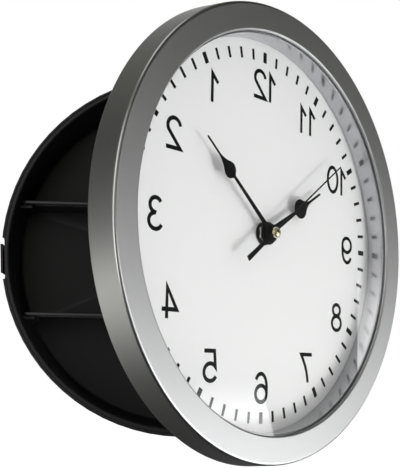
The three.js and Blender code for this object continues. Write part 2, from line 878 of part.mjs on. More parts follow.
// Threaded bush of the movement, which passes through the pan and the dial
function makeBush() {
  const rear = doorY(movementFront) + bushSeat;
  const front = doorY(dialDepth - bushProud);
  return build([revolve([
    [bushBore, front],
    [bushRadius - bushChamfer, front],
    [bushRadius, front + bushChamfer],
    [bushRadius, rear],
    [bushBore, rear],
  ], shaftSteps)]);
}

function makeWasher() {
  const front = doorY(dialFrontStack);
  return build([revolve([
    [bushRadius + seatGap, front],
    [washerRadius, front],
    [washerRadius, front + washerThickness],
    [bushRadius + seatGap, front + washerThickness],
  ], shaftSteps)]);
}

function makeNut() {
  const rear = doorY(dialFrontStack) - seatGap;
  const corner = nutAcross / Math.sqrt(3);
  const hex = barY(corner, rear - nutThickness, rear, 6);
  const bore = barY(bushRadius + seatGap, rear - nutThickness - cutOverrun, rear + cutOverrun);
  return build([hex], [bore]);
}

// Hollow arbor between two depths
function makeTube(radius, bore, frontDepth, rearY) {
  return build([revolve([
    [bore, doorY(frontDepth)],
    [radius, doorY(frontDepth)],
    [radius, rearY],
    [bore, rearY],
  ], shaftSteps)]);
}

// Where the bore's steps end, as a place on the Y axis, counted from the bush's seat
function boreStepY(steps) {
  return doorY(movementFront) + bushSeat + seatGap + arborStep * steps - seatGap;
}

// Spade hand that points up: a tapered blade, a round spade and a thin tip drawn in by a hollow curve
function spadeOutline(size) {
  const { hub, length, root, neck, tip, spade, bore } = size;
  const half = root / 2;
  const neckHalf = neck / 2;
  const tipHalf = tip / 2;
  const shoulderHalf = tipHalf * shoulderSwellShare;
  const centre = length * size.spadeShare;
  const shoulder = length * size.shoulderShare;
  const hubAngle = Math.asin(half / hub);
  const spadeLow = Math.asin(neckHalf / spade);
  const spadeHigh = Math.PI / 3;
  const outline = new THREE.Shape();
  outline.absarc(0, 0, hub, Math.PI / 2 + hubAngle, 2.5 * Math.PI - hubAngle, false);
  outline.absarc(0, centre, spade, -Math.PI / 2 + spadeLow, spadeHigh / 2, false);
  outline.quadraticCurveTo(neckHalf, (centre + shoulder) / 2, shoulderHalf, shoulder);
  outline.lineTo(tipHalf, length - tipHalf);
  outline.absarc(0, length - tipHalf, tipHalf, 0, Math.PI, false);
  outline.lineTo(-shoulderHalf, shoulder);
  outline.quadraticCurveTo(-neckHalf, (centre + shoulder) / 2, -spade * Math.cos(spadeHigh / 2),
    centre + spade * Math.sin(spadeHigh / 2));
  outline.absarc(0, centre, spade, Math.PI - spadeHigh / 2, 1.5 * Math.PI - spadeLow, false);
  outline.holes.push(new THREE.Path().absarc(0, 0, bore, 0, 2 * Math.PI, true));
  return outline;
}

// A hand's plate with the collet that grips its tube or arbor
function makeSpadeHand(size, depth) {
  const front = doorY(depth);
  const plate = plateY(spadeOutline(size), front, front + handThickness, arcSteps * 2);
  const collet = revolve([
    [size.bore, front - hubThickness + handThickness],
    [size.hub - hubThickness, front - hubThickness + handThickness],
    [size.hub - hubThickness / 2, front + handThickness / 2],
    [size.bore, front + handThickness / 2],
  ], shaftSteps);
  return build([plate, collet]);
}

function makeHourHand() {
  return makeSpadeHand({
    hub: hourHubRadius,
    length: hourHandLength,
    root: hourHandRootWidth,
    neck: hourHandNeckWidth,
    tip: hourHandTipWidth,
    spade: hourSpadeRadius,
    spadeShare: hourSpadeShare,
    shoulderShare: hourShoulderShare,
    bore: hourTubeRadius + seatGap,
  }, hourHandDepth);
}

function makeMinuteHand() {
  return makeSpadeHand({
    hub: minuteHubRadius,
    length: minuteHandLength,
    root: minuteHandRootWidth,
    neck: minuteHandNeckWidth,
    tip: minuteHandTipWidth,
    spade: minuteSpadeRadius,
    spadeShare: minuteSpadeShare,
    shoulderShare: minuteShoulderShare,
    bore: minuteArborRadius + seatGap,
  }, minuteHandDepth);
}

// Second hand: a needle with a broad tail and a round boss
function makeSecondHand() {
  const front = doorY(secondHandDepth);
  const needle = polygon([
    [-secondHandWidth / 2, 0],
    [secondHandWidth / 2, 0],
    [secondHandWidth / 4, secondHandLength],
    [-secondHandWidth / 4, secondHandLength],
  ]);
  const tail = polygon([
    [-secondTailWidth / 2, -secondHandTail],
    [secondTailWidth / 2, -secondHandTail],
    [secondHandWidth / 2, 0],
    [-secondHandWidth / 2, 0],
  ]);
  return build([
    plateY(needle, front, front + handThickness),
    plateY(tail, front, front + handThickness),
    barY(secondHubRadius, front, front + handThickness + seatGap),
  ], [barY(secondArborRadius + seatGap, front - cutOverrun, front + handThickness + cutOverrun)]);
}

// Domed brass cap on the second hand
function makeCap() {
  const rear = doorY(secondHandDepth) - seatGap;
  const band = capHeight * capBandShare;
  const corners = [[0, rear], [capRadius, rear], [capRadius, rear - band]];
  for (let i = 1; i <= arcSteps; i += 1) {
    const angle = Math.PI / 2 * i / arcSteps;
    const radius = i === arcSteps ? 0 : capRadius * Math.cos(angle);
    corners.push([radius, rear - band - (capHeight - band) * Math.sin(angle)]);
  }
  return build([revolve(corners, shaftSteps)]);
}

function makeSecondArbor() {
  return build([barY(secondArborRadius, doorY(secondHandDepth), boreStepY(3), shaftSteps)]);
}

// Serrated knob with a stem into the movement
function makeSetKnob() {
  const front = doorY(movementRear) + seatGap;
  const corners = [];
  for (let i = 0; i < knobTeeth * 2; i += 1) {
    const angle = Math.PI * i / knobTeeth;
    const radius = knobRadius - (i % 2) * knobToothDepth;
    corners.push([radius * Math.cos(angle), radius * Math.sin(angle)]);
  }
  const wheel = plateY(polygon(corners), front, front + knobThickness);
  const stem = barY(knobStemRadius, front - seatGap - knobStemLength, front + knobThickness / 2);
  return build([wheel, stem]);
}

// Finishes: colour, roughness and metalness
const finishes = {
  blackPlastic: { color: 0x141414, roughness: 0.45, metalness: 0 },
  shelfPlastic: { color: 0x1c1c1d, roughness: 0.5, metalness: 0 },
  satinSilver: { color: 0x9a9a9c, roughness: 0.32, metalness: 0.85 },
  glossSilver: { color: 0xb4b5b8, roughness: 0.14, metalness: 0.8 },
  clearLens: { color: 0xf4f7f8, roughness: 0.04, metalness: 0 },
  dialWhite: { color: 0xe6e6e4, roughness: 0.6, metalness: 0 },
  handBlack: { color: 0x101012, roughness: 0.35, metalness: 0.2 },
  brass: { color: 0xc9a24c, roughness: 0.22, metalness: 1 },
  steel: { color: 0xb9bcc0, roughness: 0.3, metalness: 1 },
  caseGrey: { color: 0x26272a, roughness: 0.55, metalness: 0 },
  rubber: { color: 0x1a1a1a, roughness: 0.85, metalness: 0 },
  batteryBlue: { color: 0x3b5f8a, roughness: 0.35, metalness: 0.4 },
};

function piece(name, geometry, finish) {
  const mesh = new THREE.Mesh(geometry, new THREE.MeshStandardMaterial(finishes[finish]));
  mesh.name = name;
  return mesh;
}

function makeHousing() {
  const housing = new THREE.Group();
  housing.add(piece('tub', makeTub(), 'blackPlastic'));
  housing.add(piece('shelf_upper', makeShelf(upperShelfHeight), 'shelfPlastic'));
  housing.add(piece('shelf_lower', makeShelf(lowerShelfHeight), 'shelfPlastic'));
  housing.add(piece('hinge_pin_upper', makeHingePin(hingeHeights[0]), 'steel'));
  housing.add(piece('hinge_pin_lower', makeHingePin(hingeHeights[1]), 'steel'));
  housing.add(piece('latch_tongue', makeLatchTongue(), 'blackPlastic'));
  return housing;
}

// A group that turns its pieces about the clock's axis to a hand's angle
function handGroup(angleDeg, pieces) {
  const group = new THREE.Group();
  group.rotation.y = -THREE.MathUtils.degToRad(angleDeg);
  pieces.forEach((mesh) => group.add(mesh));
  return group;
}

function makeHands() {
  const hourTube = makeTube(hourTubeRadius, hourTubeBore, hourHandDepth - hubThickness, boreStepY(1));
  const minuteArbor = makeTube(minuteArborRadius, minuteArborBore, minuteHandDepth - hubThickness,
    boreStepY(2));
  const hands = new THREE.Group();
  hands.add(handGroup(hourHandAngle, [
    piece('hour_tube', hourTube, 'brass'),
    piece('hour_hand', makeHourHand(), 'handBlack'),
  ]));
  hands.add(handGroup(minuteHandAngle, [
    piece('minute_arbor', minuteArbor, 'brass'),
    piece('minute_hand', makeMinuteHand(), 'handBlack'),
  ]));
  hands.add(handGroup(secondHandAngle, [
    piece('second_arbor', makeSecondArbor(), 'steel'),
    piece('second_hand', makeSecondHand(), 'handBlack'),
    piece('second_cap', makeCap(), 'brass'),
  ]));
  return hands;
}

function makeDoor() {
  const door = new THREE.Group();
  door.add(piece('bezel_ring', makeBezel(), 'satinSilver'));
  door.add(piece('lens', makeLens(), 'clearLens'));
  door.add(piece('inner_ring', makeInnerRing(), 'glossSilver'));
  door.add(piece('dial_plate', makeDial(), 'dialWhite'));
  door.add(piece('door_pan', makePan(), 'blackPlastic'));
  screwAngles().forEach((angle, i) => {
    door.add(piece(`pan_screw_${i + 1}`, makePanScrew(angle), 'steel'));
  });
  door.add(piece('movement_case', makeMovementCase(), 'caseGrey'));
  door.add(piece('battery', makeBattery(), 'batteryBlue'));
  door.add(piece('contact_flat', makeFlatContact(), 'steel'));
  door.add(piece('contact_spring', makeSpringContact(), 'steel'));
  door.add(piece('shaft_bush', makeBush(), 'brass'));
  door.add(piece('shaft_washer', makeWasher(), 'rubber'));
  door.add(piece('shaft_nut', makeNut(), 'brass'));
  door.add(piece('set_knob', makeSetKnob(), 'caseGrey'));
  door.add(makeHands());
  return door;
}

// The door turns about the hinge line: its group is moved to the line, turned, and moved back
function hangDoor(door) {
  const hinge = new THREE.Group();
  hinge.position.set(hingeX, hingeY, 0);
  hinge.rotation.z = THREE.MathUtils.degToRad(openAngleDeg);
  door.position.set(-hingeX, -hingeY, 0);
  hinge.add(door);
  return hinge;
}

const clockSafe = new THREE.Group();
clockSafe.add(makeHousing());
clockSafe.add(hangDoor(makeDoor()));

export default clockSafe;
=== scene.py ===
"""Looks for the clock safe: pieces, materials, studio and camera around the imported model.

It is laid out as an add-on that is run as a script: one operator for each group of pieces, one for the
stage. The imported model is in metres, +Z up, and the clock faces -Y. The door's pieces are drawn on the
closed door and then turned about its hinge line to the angle where it rests, as in the model.
"""

import json
import math

import bmesh
import bpy
from mathutils import Matrix, Vector

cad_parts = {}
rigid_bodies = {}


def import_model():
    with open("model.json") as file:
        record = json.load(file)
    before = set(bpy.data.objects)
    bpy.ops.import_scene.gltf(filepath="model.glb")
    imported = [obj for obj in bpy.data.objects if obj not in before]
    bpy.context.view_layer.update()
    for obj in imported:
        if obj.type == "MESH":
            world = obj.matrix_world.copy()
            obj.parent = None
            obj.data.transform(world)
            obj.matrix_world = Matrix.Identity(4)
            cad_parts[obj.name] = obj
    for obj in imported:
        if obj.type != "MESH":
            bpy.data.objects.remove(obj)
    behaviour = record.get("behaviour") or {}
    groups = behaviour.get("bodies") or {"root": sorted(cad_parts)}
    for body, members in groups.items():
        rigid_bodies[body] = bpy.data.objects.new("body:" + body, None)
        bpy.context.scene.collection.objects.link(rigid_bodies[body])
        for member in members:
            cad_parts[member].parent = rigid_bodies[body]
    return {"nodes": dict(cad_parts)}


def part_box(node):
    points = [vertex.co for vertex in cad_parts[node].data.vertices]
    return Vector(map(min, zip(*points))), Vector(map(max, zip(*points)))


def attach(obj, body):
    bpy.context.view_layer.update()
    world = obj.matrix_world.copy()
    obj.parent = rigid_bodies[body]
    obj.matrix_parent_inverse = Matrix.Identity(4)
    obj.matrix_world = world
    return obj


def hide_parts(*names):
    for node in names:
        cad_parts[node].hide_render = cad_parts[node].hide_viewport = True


bl_info = {
    "name": "Clock safe looks",
    "version": (1, 0, 0),
    "blender": (4, 5, 0),
    "location": "View3D > Sidebar > Clock safe",
    "description": "Builds the fine pieces, materials and studio of a wall clock with a hidden safe",
    "category": "Object",
}

MM = 0.001

# Door: where it hangs and how far open it rests
HINGE_X = 129.6 * MM
HINGE_Y = -41.8 * MM
OPEN_ANGLE = math.radians(45)
BEZEL_FRONT_Y = -59 * MM

# Depths behind the bezel's face
BEZEL_DEPTH = 16 * MM
DIAL_DEPTH = 15 * MM
HAND_DEPTHS = {"hour": 10.7 * MM, "minute": 8.7 * MM, "second": 6.7 * MM}
HAND_THICKNESS = 0.5 * MM

# Screws that hold the door's pan
SCREW_COUNT = 6
SCREW_CIRCLE = 121.2 * MM

MATERIALS = {}


def clear_scene():
    """Removes what a new file holds."""
    for item in list(bpy.data.objects):
        bpy.data.objects.remove(item)


clear_scene()
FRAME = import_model()


# Placing

def door_place(x, depth, z):
    """A point of the closed door, turned with it to where it rests."""
    dx = x - HINGE_X
    dy = BEZEL_FRONT_Y + depth - HINGE_Y
    c, s = math.cos(OPEN_ANGLE), math.sin(OPEN_ANGLE)
    return Vector((HINGE_X + c * dx - s * dy, HINGE_Y + s * dx + c * dy, z))


def hang(mesh):
    """Turns a mesh that was drawn on the closed door (x, depth, z) to the resting door."""
    for vertex in mesh.vertices:
        vertex.co = door_place(*vertex.co)
    mesh.update()
    return mesh


def turned(x, z, angle):
    """A point of the dial's plane turned counter-clockwise as the viewer sees it."""
    c, s = math.cos(angle), math.sin(angle)
    return c * x - s * z, s * x + c * z


def scaled(*rows):
    """Rows of millimetres as metres."""
    return [tuple(value * MM for value in row) for row in rows]


# Meshes

def placed(name, data):
    """A new object in the scene."""
    item = bpy.data.objects.new(name, data)
    bpy.context.scene.collection.objects.link(item)
    return item


def evaluated(holder):
    """An object's shape with its modifiers, as a plain mesh. The object is removed."""
    bpy.context.view_layer.update()
    graph = bpy.context.evaluated_depsgraph_get()
    mesh = bpy.data.meshes.new_from_object(holder.evaluated_get(graph))
    holder.modifiers.clear()
    bpy.data.objects.remove(holder)
    return mesh


def finished(bm, name):
    """A bmesh as a plain mesh with outward normals."""
    bmesh.ops.recalc_face_normals(bm, faces=bm.faces)
    mesh = bpy.data.meshes.new(name)
    bm.to_mesh(mesh)
    bm.free()
    return mesh


def joined(meshes, name):
    """Several meshes as one."""
    bm = bmesh.new()
    for mesh in meshes:
        bm.from_mesh(mesh)
        bpy.data.meshes.remove(mesh)
    return finished(bm, name)


def shade(mesh, angle_deg):
    """Smooth shading with sharp edges where faces meet at more than an angle."""
    bm = bmesh.new()
    bm.from_mesh(mesh)
    limit = math.radians(angle_deg)
    for face in bm.faces:
        face.smooth = True
    for edge in bm.edges:
        edge.smooth = not (edge.is_manifold and edge.calc_face_angle(0) > limit)
    bm.to_mesh(mesh)
    bm.free()
    return mesh


def swap_depth(mesh):
    """Swaps height and depth, between a mesh in the dial's plane and one that lies in the XY plane."""
    for vertex in mesh.vertices:
        x, y, z = vertex.co
        vertex.co = (x, z, y)


def stand(mesh, depth):
    """Stands a mesh that lies in the XY plane up in the dial's plane, at a depth."""
    for vertex in mesh.vertices:
        x, z, height = vertex.co
        vertex.co = (x, depth - height, z)
    return mesh


def rounded(corners, segments=5):
    """Corners (r, depth, radius) of a closed outline as points, with each corner rounded to its radius."""
    points = []
    count = len(corners)
    for i, (x, y, radius) in enumerate(corners):
        here = Vector((x, y))
        if radius <= 0:
            points.append(here)
            continue
        before = Vector(corners[i - 1][:2]) - here
        after = Vector(corners[(i + 1) % count][:2]) - here
        turn = before.angle(after)
        run = min(radius / math.tan(turn / 2), before.length / 2, after.length / 2)
        size = run * math.tan(turn / 2)
        start = here + before.normalized() * run
        end = here + after.normalized() * run
        centre = here + (before.normalized() + after.normalized()).normalized() * math.hypot(run, size)
        arm = start - centre
        sweep = arm.angle_signed(end - centre)
        for k in range(segments + 1):
            points.append(centre + Matrix.Rotation(-sweep * k / segments, 2) @ arm)
    return points


def braced(points, reach):
    """Adds a point just inside both ends of a closed outline's long sides, so that flats shade flat."""
    result = []
    for here, after in zip(points, points[1:] + points[:1]):
        result.append(here)
        side = after - here
        if side.length > 4 * reach:
            result.append(here + side.normalized() * reach)
            result.append(after - side.normalized() * reach)
    return result


def circle(radius, steps):
    """Points round a circle in the dial's plane."""
    angles = [2 * math.pi * k / steps for k in range(steps)]
    return [(radius * math.cos(a), radius * math.sin(a)) for a in angles]


def dome(radius, depth, rise, steps):
    """A quarter of an oval (r, depth), from past its side to the axis."""
    angles = [math.pi / 2 * k / steps for k in range(1, steps)]
    side = [(radius * math.cos(a), depth + rise * math.sin(a)) for a in angles]
    return [*side, (0, depth + rise)]


def revolve(outline, steps, name, closed=True):
    """Mesh of revolution about the door's axis from (r, depth) points.

    An outline that isn't closed starts and ends on the axis.
    """
    bm = bmesh.new()
    rings = []
    for r, depth in outline:
        on_axis = r < 1e-7
        spots = [(0, 0)] if on_axis else circle(r, steps)
        rings.append([bm.verts.new((x, depth, z)) for x, z in spots])
    pairs = list(zip(rings, rings[1:]))
    if closed:
        pairs.append((rings[-1], rings[0]))
    for a, b in pairs:
        for k in range(steps):
            n = (k + 1) % steps
            if len(a) == 1:
                bm.faces.new((a[0], b[n], b[k]))
            elif len(b) == 1:
                bm.faces.new((a[k], a[n], b[0]))
            else:
                bm.faces.new((a[k], a[n], b[n], b[k]))
    return finished(bm, name)


def block(name, centre, size, bevel=0.0):
    """A box by its centre and size, with its edges rounded where asked."""
    bm = bmesh.new()
    bmesh.ops.create_cube(bm, size=1.0)
    for vertex in bm.verts:
        vertex.co = [middle + share * whole for middle, share, whole in zip(centre, vertex.co, size)]
    if bevel:
        bmesh.ops.bevel(bm, geom=list(bm.edges), offset=bevel, segments=2, affect="EDGES")
    return finished(bm, name)


def cut(mesh, blocks):
    """A mesh with blocks cut out of it."""
    holder = placed("cut_holder", mesh)
    cutters = [placed("cutter", shape) for shape in blocks]
    for cutter in cutters:
        modifier = holder.modifiers.new("Cut", "BOOLEAN")
        modifier.operation = "DIFFERENCE"
        modifier.object = cutter
        modifier.solver = "EXACT"
    made = evaluated(holder)
    for cutter in cutters:
        bpy.data.objects.remove(cutter)
    return made


def plate(outline, thickness, name, bevel, holes=()):
    """Plate from an outline, with rounded edges. It lies in the XY plane, half above and half below."""
    curve = bpy.data.curves.new(name, "CURVE")
    curve.dimensions = "2D"
    curve.fill_mode = "BOTH"
    curve.extrude = thickness / 2 - bevel
    curve.bevel_depth = bevel
    curve.bevel_resolution = 2
    curve.offset = -bevel
    for loop in [outline, *holes]:
        spline = curve.splines.new("POLY")
        spline.points.add(len(loop) - 1)
        for point, (x, y) in zip(spline.points, loop):
            point.co = (x, y, 0, 1)
        spline.use_cyclic_u = True
    mesh = evaluated(placed(name + "_source", curve))
    bpy.data.curves.remove(curve)
    bm = bmesh.new()
    bm.from_mesh(mesh)
    bmesh.ops.remove_doubles(bm, verts=bm.verts, dist=1e-6)
    bpy.data.meshes.remove(mesh)
    return finished(bm, name)


SHARPEST_MITRE = 0.35


def add_stroke(bm, line, width, front, rear, cyclic):
    """Adds a solid stroke of one width along a line, with mitred joins, between two depths."""
    points = [Vector(p) for p in line]
    count = len(points)
    rows = []
    for i, here in enumerate(points):
        if cyclic:
            before, after = points[i - 1], points[(i + 1) % count]
        else:
            before, after = points[max(i - 1, 0)], points[min(i + 1, count - 1)]
        arriving, leaving = (here - before).normalized(), (after - here).normalized()
        if not arriving.length:
            arriving = leaving
        if not leaving.length:
            leaving = arriving
        side = (arriving + leaving).orthogonal().normalized()
        reach = width / 2 / max(side.dot(arriving.orthogonal()), SHARPEST_MITRE)
        left, right = here + side * reach, here - side * reach
        corners = ((left, front), (right, front), (right, rear), (left, rear))
        rows.append([bm.verts.new((edge.x, depth, edge.y)) for edge, depth in corners])
    for i in range(count if cyclic else count - 1):
        here, after = rows[i], rows[(i + 1) % count]
        for k in range(4):
            n = (k + 1) % 4
            bm.faces.new((here[k], here[n], after[n], after[k]))
    if not cyclic:
        bm.faces.new(rows[0])
        bm.faces.new(list(reversed(rows[-1])))


def add_piece(mesh, name, body, material, replaces=()):
    """Puts a mesh into the scene as a piece that rides on a body."""
    mesh.name = name
    piece = placed(name, mesh)
    mesh.materials.clear()
    mesh.materials.append(MATERIALS[material])
    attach(piece, body)
    if replaces:
        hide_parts(*replaces)
    return piece


# Nodes

class Wires:
    """Adds nodes to a tree and joins them, placed in rows for reading."""

    def __init__(self, tree):
        self.tree = tree
        self.count = 0

    def add(self, kind, values=None, **settings):
        """A new node with its settings, and with its inputs set or joined."""
        node = self.tree.nodes.new(kind)
        node.location = (200 * (self.count % 8), -260 * (self.count // 8))
        self.count += 1
        for key, value in settings.items():
            setattr(node, key, value)
        for key, value in (values or {}).items():
            self.put(node, key, value)
        return node

    def put(self, node, key, value):
        """Sets a node's input, or joins it to an output."""
        socket = node.inputs[key]
        if isinstance(value, bpy.types.NodeSocket):
            self.tree.links.new(value, socket)
        else:
            socket.default_value = value

    def math(self, operation, *values):
        """What a Math node makes of values."""
        return self.add("ShaderNodeMath", dict(enumerate(values)), operation=operation).outputs[0]

    def vector(self, operation, *values):
        """What a Vector Math node makes of vectors: a value for a dot product or a length, or a vector."""
        node = self.add("ShaderNodeVectorMath", dict(enumerate(values)), operation=operation)
        return node.outputs["Value" if operation in ("DOT_PRODUCT", "LENGTH") else "Vector"]

    def ranged(self, value, start=0.0, end=1.0, low=0.0, high=1.0, **settings):
        """A value between start and end taken to between low and high."""
        node = self.add("ShaderNodeMapRange", {
            "Value": value, "From Min": start, "From Max": end, "To Min": low, "To Max": high}, **settings)
        return node.outputs[0]

    def noise(self, scale, detail, **values):
        """Noise in the object's own space."""
        place = self.add("ShaderNodeTexCoord").outputs["Object"]
        node = self.add("ShaderNodeTexNoise", {"Vector": place, "Scale": scale, "Detail": detail, **values})
        return node.outputs["Fac"]

    def mixed(self, mask, first, second):
        """A colour between two, by a mask."""
        colours = {0: mask, 6: (*first, 1), 7: (*second, 1)}
        return self.add("ShaderNodeMix", colours, data_type="RGBA").outputs[2]

    def directly_seen(self):
        """One where the camera sees a thing itself, in a reflection or through glass."""
        path = self.add("ShaderNodeLightPath").outputs
        seen = self.math("MAXIMUM", path["Is Camera Ray"], path["Is Glossy Ray"])
        return self.math("MAXIMUM", seen, path["Is Transmission Ray"])

    def turn(self, angle):
        """A rotation about Z."""
        spin = self.add("ShaderNodeCombineXYZ", {2: angle})
        return self.add("FunctionNodeEulerToRotation", {0: spin.outputs[0]}).outputs[0]

    def spread(self, points, part, angle, material, values=None):
        """Real copies of a part on points, each turned by its angle, with a material."""
        copies = self.add("GeometryNodeInstanceOnPoints", {
            "Points": points, "Instance": part, "Rotation": self.turn(angle), **(values or {})})
        real = self.add("GeometryNodeRealizeInstances", {0: copies.outputs[0]})
        return self.add("GeometryNodeSetMaterial", {0: real.outputs[0], "Material": material}).outputs[0]


def emptied(owner):
    """Wires in the emptied node tree of a material or world."""
    owner.use_nodes = True
    owner.node_tree.nodes.clear()
    return Wires(owner.node_tree)


def node_group(name, kind, inputs, outputs, wire):
    """A node group, made once, with named inputs and outputs and what wire puts between them.

    An input is given by its default value, or by its type where it has none.
    """
    if name in bpy.data.node_groups:
        return bpy.data.node_groups[name]
    tree = bpy.data.node_groups.new(name, kind)
    value_types = {float: "NodeSocketFloat", int: "NodeSocketInt"}
    for label, default in inputs.items():
        socket_type = value_types.get(type(default), default)
        socket = tree.interface.new_socket(name=label, in_out="INPUT", socket_type=socket_type)
        if default != socket_type:
            socket.default_value = default
    for label, socket_type in outputs.items():
        tree.interface.new_socket(name=label, in_out="OUTPUT", socket_type=socket_type)
    w = Wires(tree)
    results = wire(w, w.add("NodeGroupInput").outputs)
    w.add("NodeGroupOutput", dict(enumerate(results)))
    return tree


# Effects that the materials share

MASK = {"Mask": "NodeSocketFloat"}


def fine_grain():
    """Fine moulded or sprayed grain: a mask and a bumped normal, in the object's own space."""
    def wire(w, given):
        fine = w.noise(w.math("DIVIDE", 1.0, given["Grain size"]), 3.0, Roughness=0.6)
        broad = w.noise(38.0, 2.0)
        swell = w.math("MULTIPLY_ADD", broad, given["Waviness"], fine)
        bump = w.add("ShaderNodeBump", {"Strength": 1.0, "Distance": given["Depth"], "Height": swell})
        return fine, bump.outputs["Normal"]

    return node_group("FineGrain", "ShaderNodeTree", {
        "Grain size": 0.4 * MM, "Depth": 0.01 * MM, "Waviness": 0.1,
    }, {**MASK, "Normal": "NodeSocketVector"}, wire)


def edge_wear():
    """Rubbed edges with a painted highlight: a mask along edges of a given width, broken up in patches."""
    def wire(w, given):
        normal = w.add("ShaderNodeNewGeometry").outputs["Normal"]
        eased = w.add("ShaderNodeBevel", {"Radius": given["Edge width"]}, samples=6).outputs[0]
        edge = w.ranged(w.vector("DOT_PRODUCT", eased, normal), start=0.985, end=0.86)
        patch = w.noise(w.math("DIVIDE", 1.0, given["Patch size"]), 4.0)
        broken = w.ranged(patch, start=0.3, end=0.6, low=0.35)
        return [w.math("MULTIPLY", w.math("MULTIPLY", edge, broken), given["Amount"])]

    return node_group("EdgeWearAndHighlight", "ShaderNodeTree", {
        "Amount": 0.5, "Edge width": 0.5 * MM, "Patch size": 6 * MM,
    }, MASK, wire)


def door_band():
    """A band round the door's axis between two radii, for the bezel's bead: a mask."""
    centre = door_place(0, 0, 0)
    axis = door_place(0, 1, 0) - centre

    def wire(w, given):
        place = w.add("ShaderNodeTexCoord").outputs["Object"]
        shift = w.vector("SUBTRACT", place, tuple(centre))
        radius = w.vector("LENGTH", w.vector("CROSS_PRODUCT", shift, tuple(axis)))
        inside = w.math("SUBTRACT", given["Outer"], radius)
        outside = w.math("SUBTRACT", radius, given["Inner"])
        return [w.ranged(w.math("MINIMUM", inside, outside), end=given["Softness"])]

    return node_group("BandOnDoor", "ShaderNodeTree", {
        "Inner": 123.9 * MM, "Outer": 125.45 * MM, "Softness": 0.15 * MM,
    }, MASK, wire)


def settled_dust():
    """Thin dust on faces that look up: a mask."""
    def wire(w, given):
        normal = w.add("ShaderNodeNewGeometry").outputs["Normal"]
        up = w.ranged(w.add("ShaderNodeSeparateXYZ", {0: normal}).outputs["Z"], start=0.5)
        speck = w.ranged(w.noise(420.0, 6.0), start=0.42, end=0.7)
        return [w.math("MULTIPLY", w.math("MULTIPLY", up, speck), given["Amount"])]

    return node_group("SettledDust", "ShaderNodeTree", {"Amount": 0.2}, MASK, wire)


# Materials

def new_material(name, values=None):
    """A material with a Principled shader on its output: itself, its wires and the shader."""
    material = bpy.data.materials.new(name)
    w = emptied(material)
    shader = w.add("ShaderNodeBsdfPrincipled", values)
    w.add("ShaderNodeOutputMaterial", {"Surface": shader.outputs[0]})
    return material, w, shader


def grained(name, grain, depth, waviness=0.1, values=None):
    """A new material with grain in its normal, and the grain's mask."""
    material, w, shader = new_material(name, values)
    grit = w.add("ShaderNodeGroup", {"Grain size": grain, "Depth": depth, "Waviness": waviness},
                 node_tree=fine_grain())
    w.put(shader, "Normal", grit.outputs["Normal"])
    return material, w, shader, grit.outputs["Mask"]


def moulded(name, colour, worn_and_highlit, roughness, grain, depth, wear_and_highlight=0.5, dust=0.15, specular=0.3):
    """Moulded plastic: grain in the surface, a little wear with a painted highlight on its edges, and dust
    on what looks up.
    """
    material, w, shader, mask = grained(name, grain, depth, values={"Specular IOR Level": specular})
    # the pale edges are partly wear and partly a painted highlight where light would catch them
    rubbed_and_highlit = w.add("ShaderNodeGroup", {"Amount": wear_and_highlight}, node_tree=edge_wear())
    fallen = w.add("ShaderNodeGroup", {"Amount": dust}, node_tree=settled_dust())
    pale = w.math("MAXIMUM", rubbed_and_highlit.outputs[0], fallen.outputs[0])
    w.put(shader, "Base Color", w.mixed(pale, colour, worn_and_highlit))
    w.put(shader, "Roughness", w.ranged(mask, low=roughness - 0.06, high=roughness + 0.06))
    return material


def sprayed(name, colour, dark, roughness, metallic, grain=0.25 * MM, depth=0.002 * MM, polish=None):
    """Silver paint on plastic: fine flakes and soft reflections, with the bead polished where asked."""
    material, w, shader, mask = grained(name, grain, depth, 0.2, {"Metallic": metallic})
    w.put(shader, "Base Color", w.mixed(w.ranged(mask, start=0.3, end=0.7), dark, colour))
    rough = w.ranged(mask, low=roughness - 0.04, high=roughness + 0.04)
    if polish:
        bead = w.add("ShaderNodeGroup", node_tree=door_band()).outputs[0]
        rough = w.ranged(bead, low=rough, high=polish)
    w.put(shader, "Roughness", rough)
    return material


def metal(name, colour, dark, roughness):
    """Turned or plated metal with faint handling marks."""
    material, w, shader, mask = grained(name, 0.3 * MM, 0.001 * MM, values={"Metallic": 1.0})
    w.put(shader, "Base Color", w.mixed(mask, dark, colour))
    w.put(shader, "Roughness", w.ranged(mask, low=roughness - 0.06, high=roughness + 0.08))
    return material


def printed(name, colour, light, roughness, specular, grain=0.2 * MM, depth=0.0015 * MM):
    """Printed or painted surface with a faint mottle."""
    material, w, shader, mask = grained(name, grain, depth, values={
        "Roughness": roughness, "Specular IOR Level": specular})
    w.put(shader, "Base Color", w.mixed(mask, colour, light))
    return material


def lens_glass():
    """Clear flat lens with faint wipe marks. Light that lights the dial passes it straight."""
    material, w, shader = new_material("ClearLens", {"Transmission Weight": 1.0, "IOR": 1.49})
    smear = w.noise(22.0, 5.0)
    w.put(shader, "Roughness", w.ranged(smear, start=0.45, end=0.8, high=0.02))
    w.put(shader, "Base Color", w.mixed(smear, (0.985, 0.99, 0.99), (1.0, 1.0, 1.0)))
    path = w.add("ShaderNodeLightPath").outputs
    lighting = w.math("MAXIMUM", path["Is Shadow Ray"], path["Is Diffuse Ray"])
    clear = w.add("ShaderNodeBsdfTransparent", {"Color": (0.96, 0.962, 0.962, 1)})
    both = w.add("ShaderNodeMixShader", {0: lighting, 1: shader.outputs[0], 2: clear.outputs[0]})
    out = next(node for node in material.node_tree.nodes if node.type == "OUTPUT_MATERIAL")
    w.put(out, "Surface", both.outputs[0])
    return material


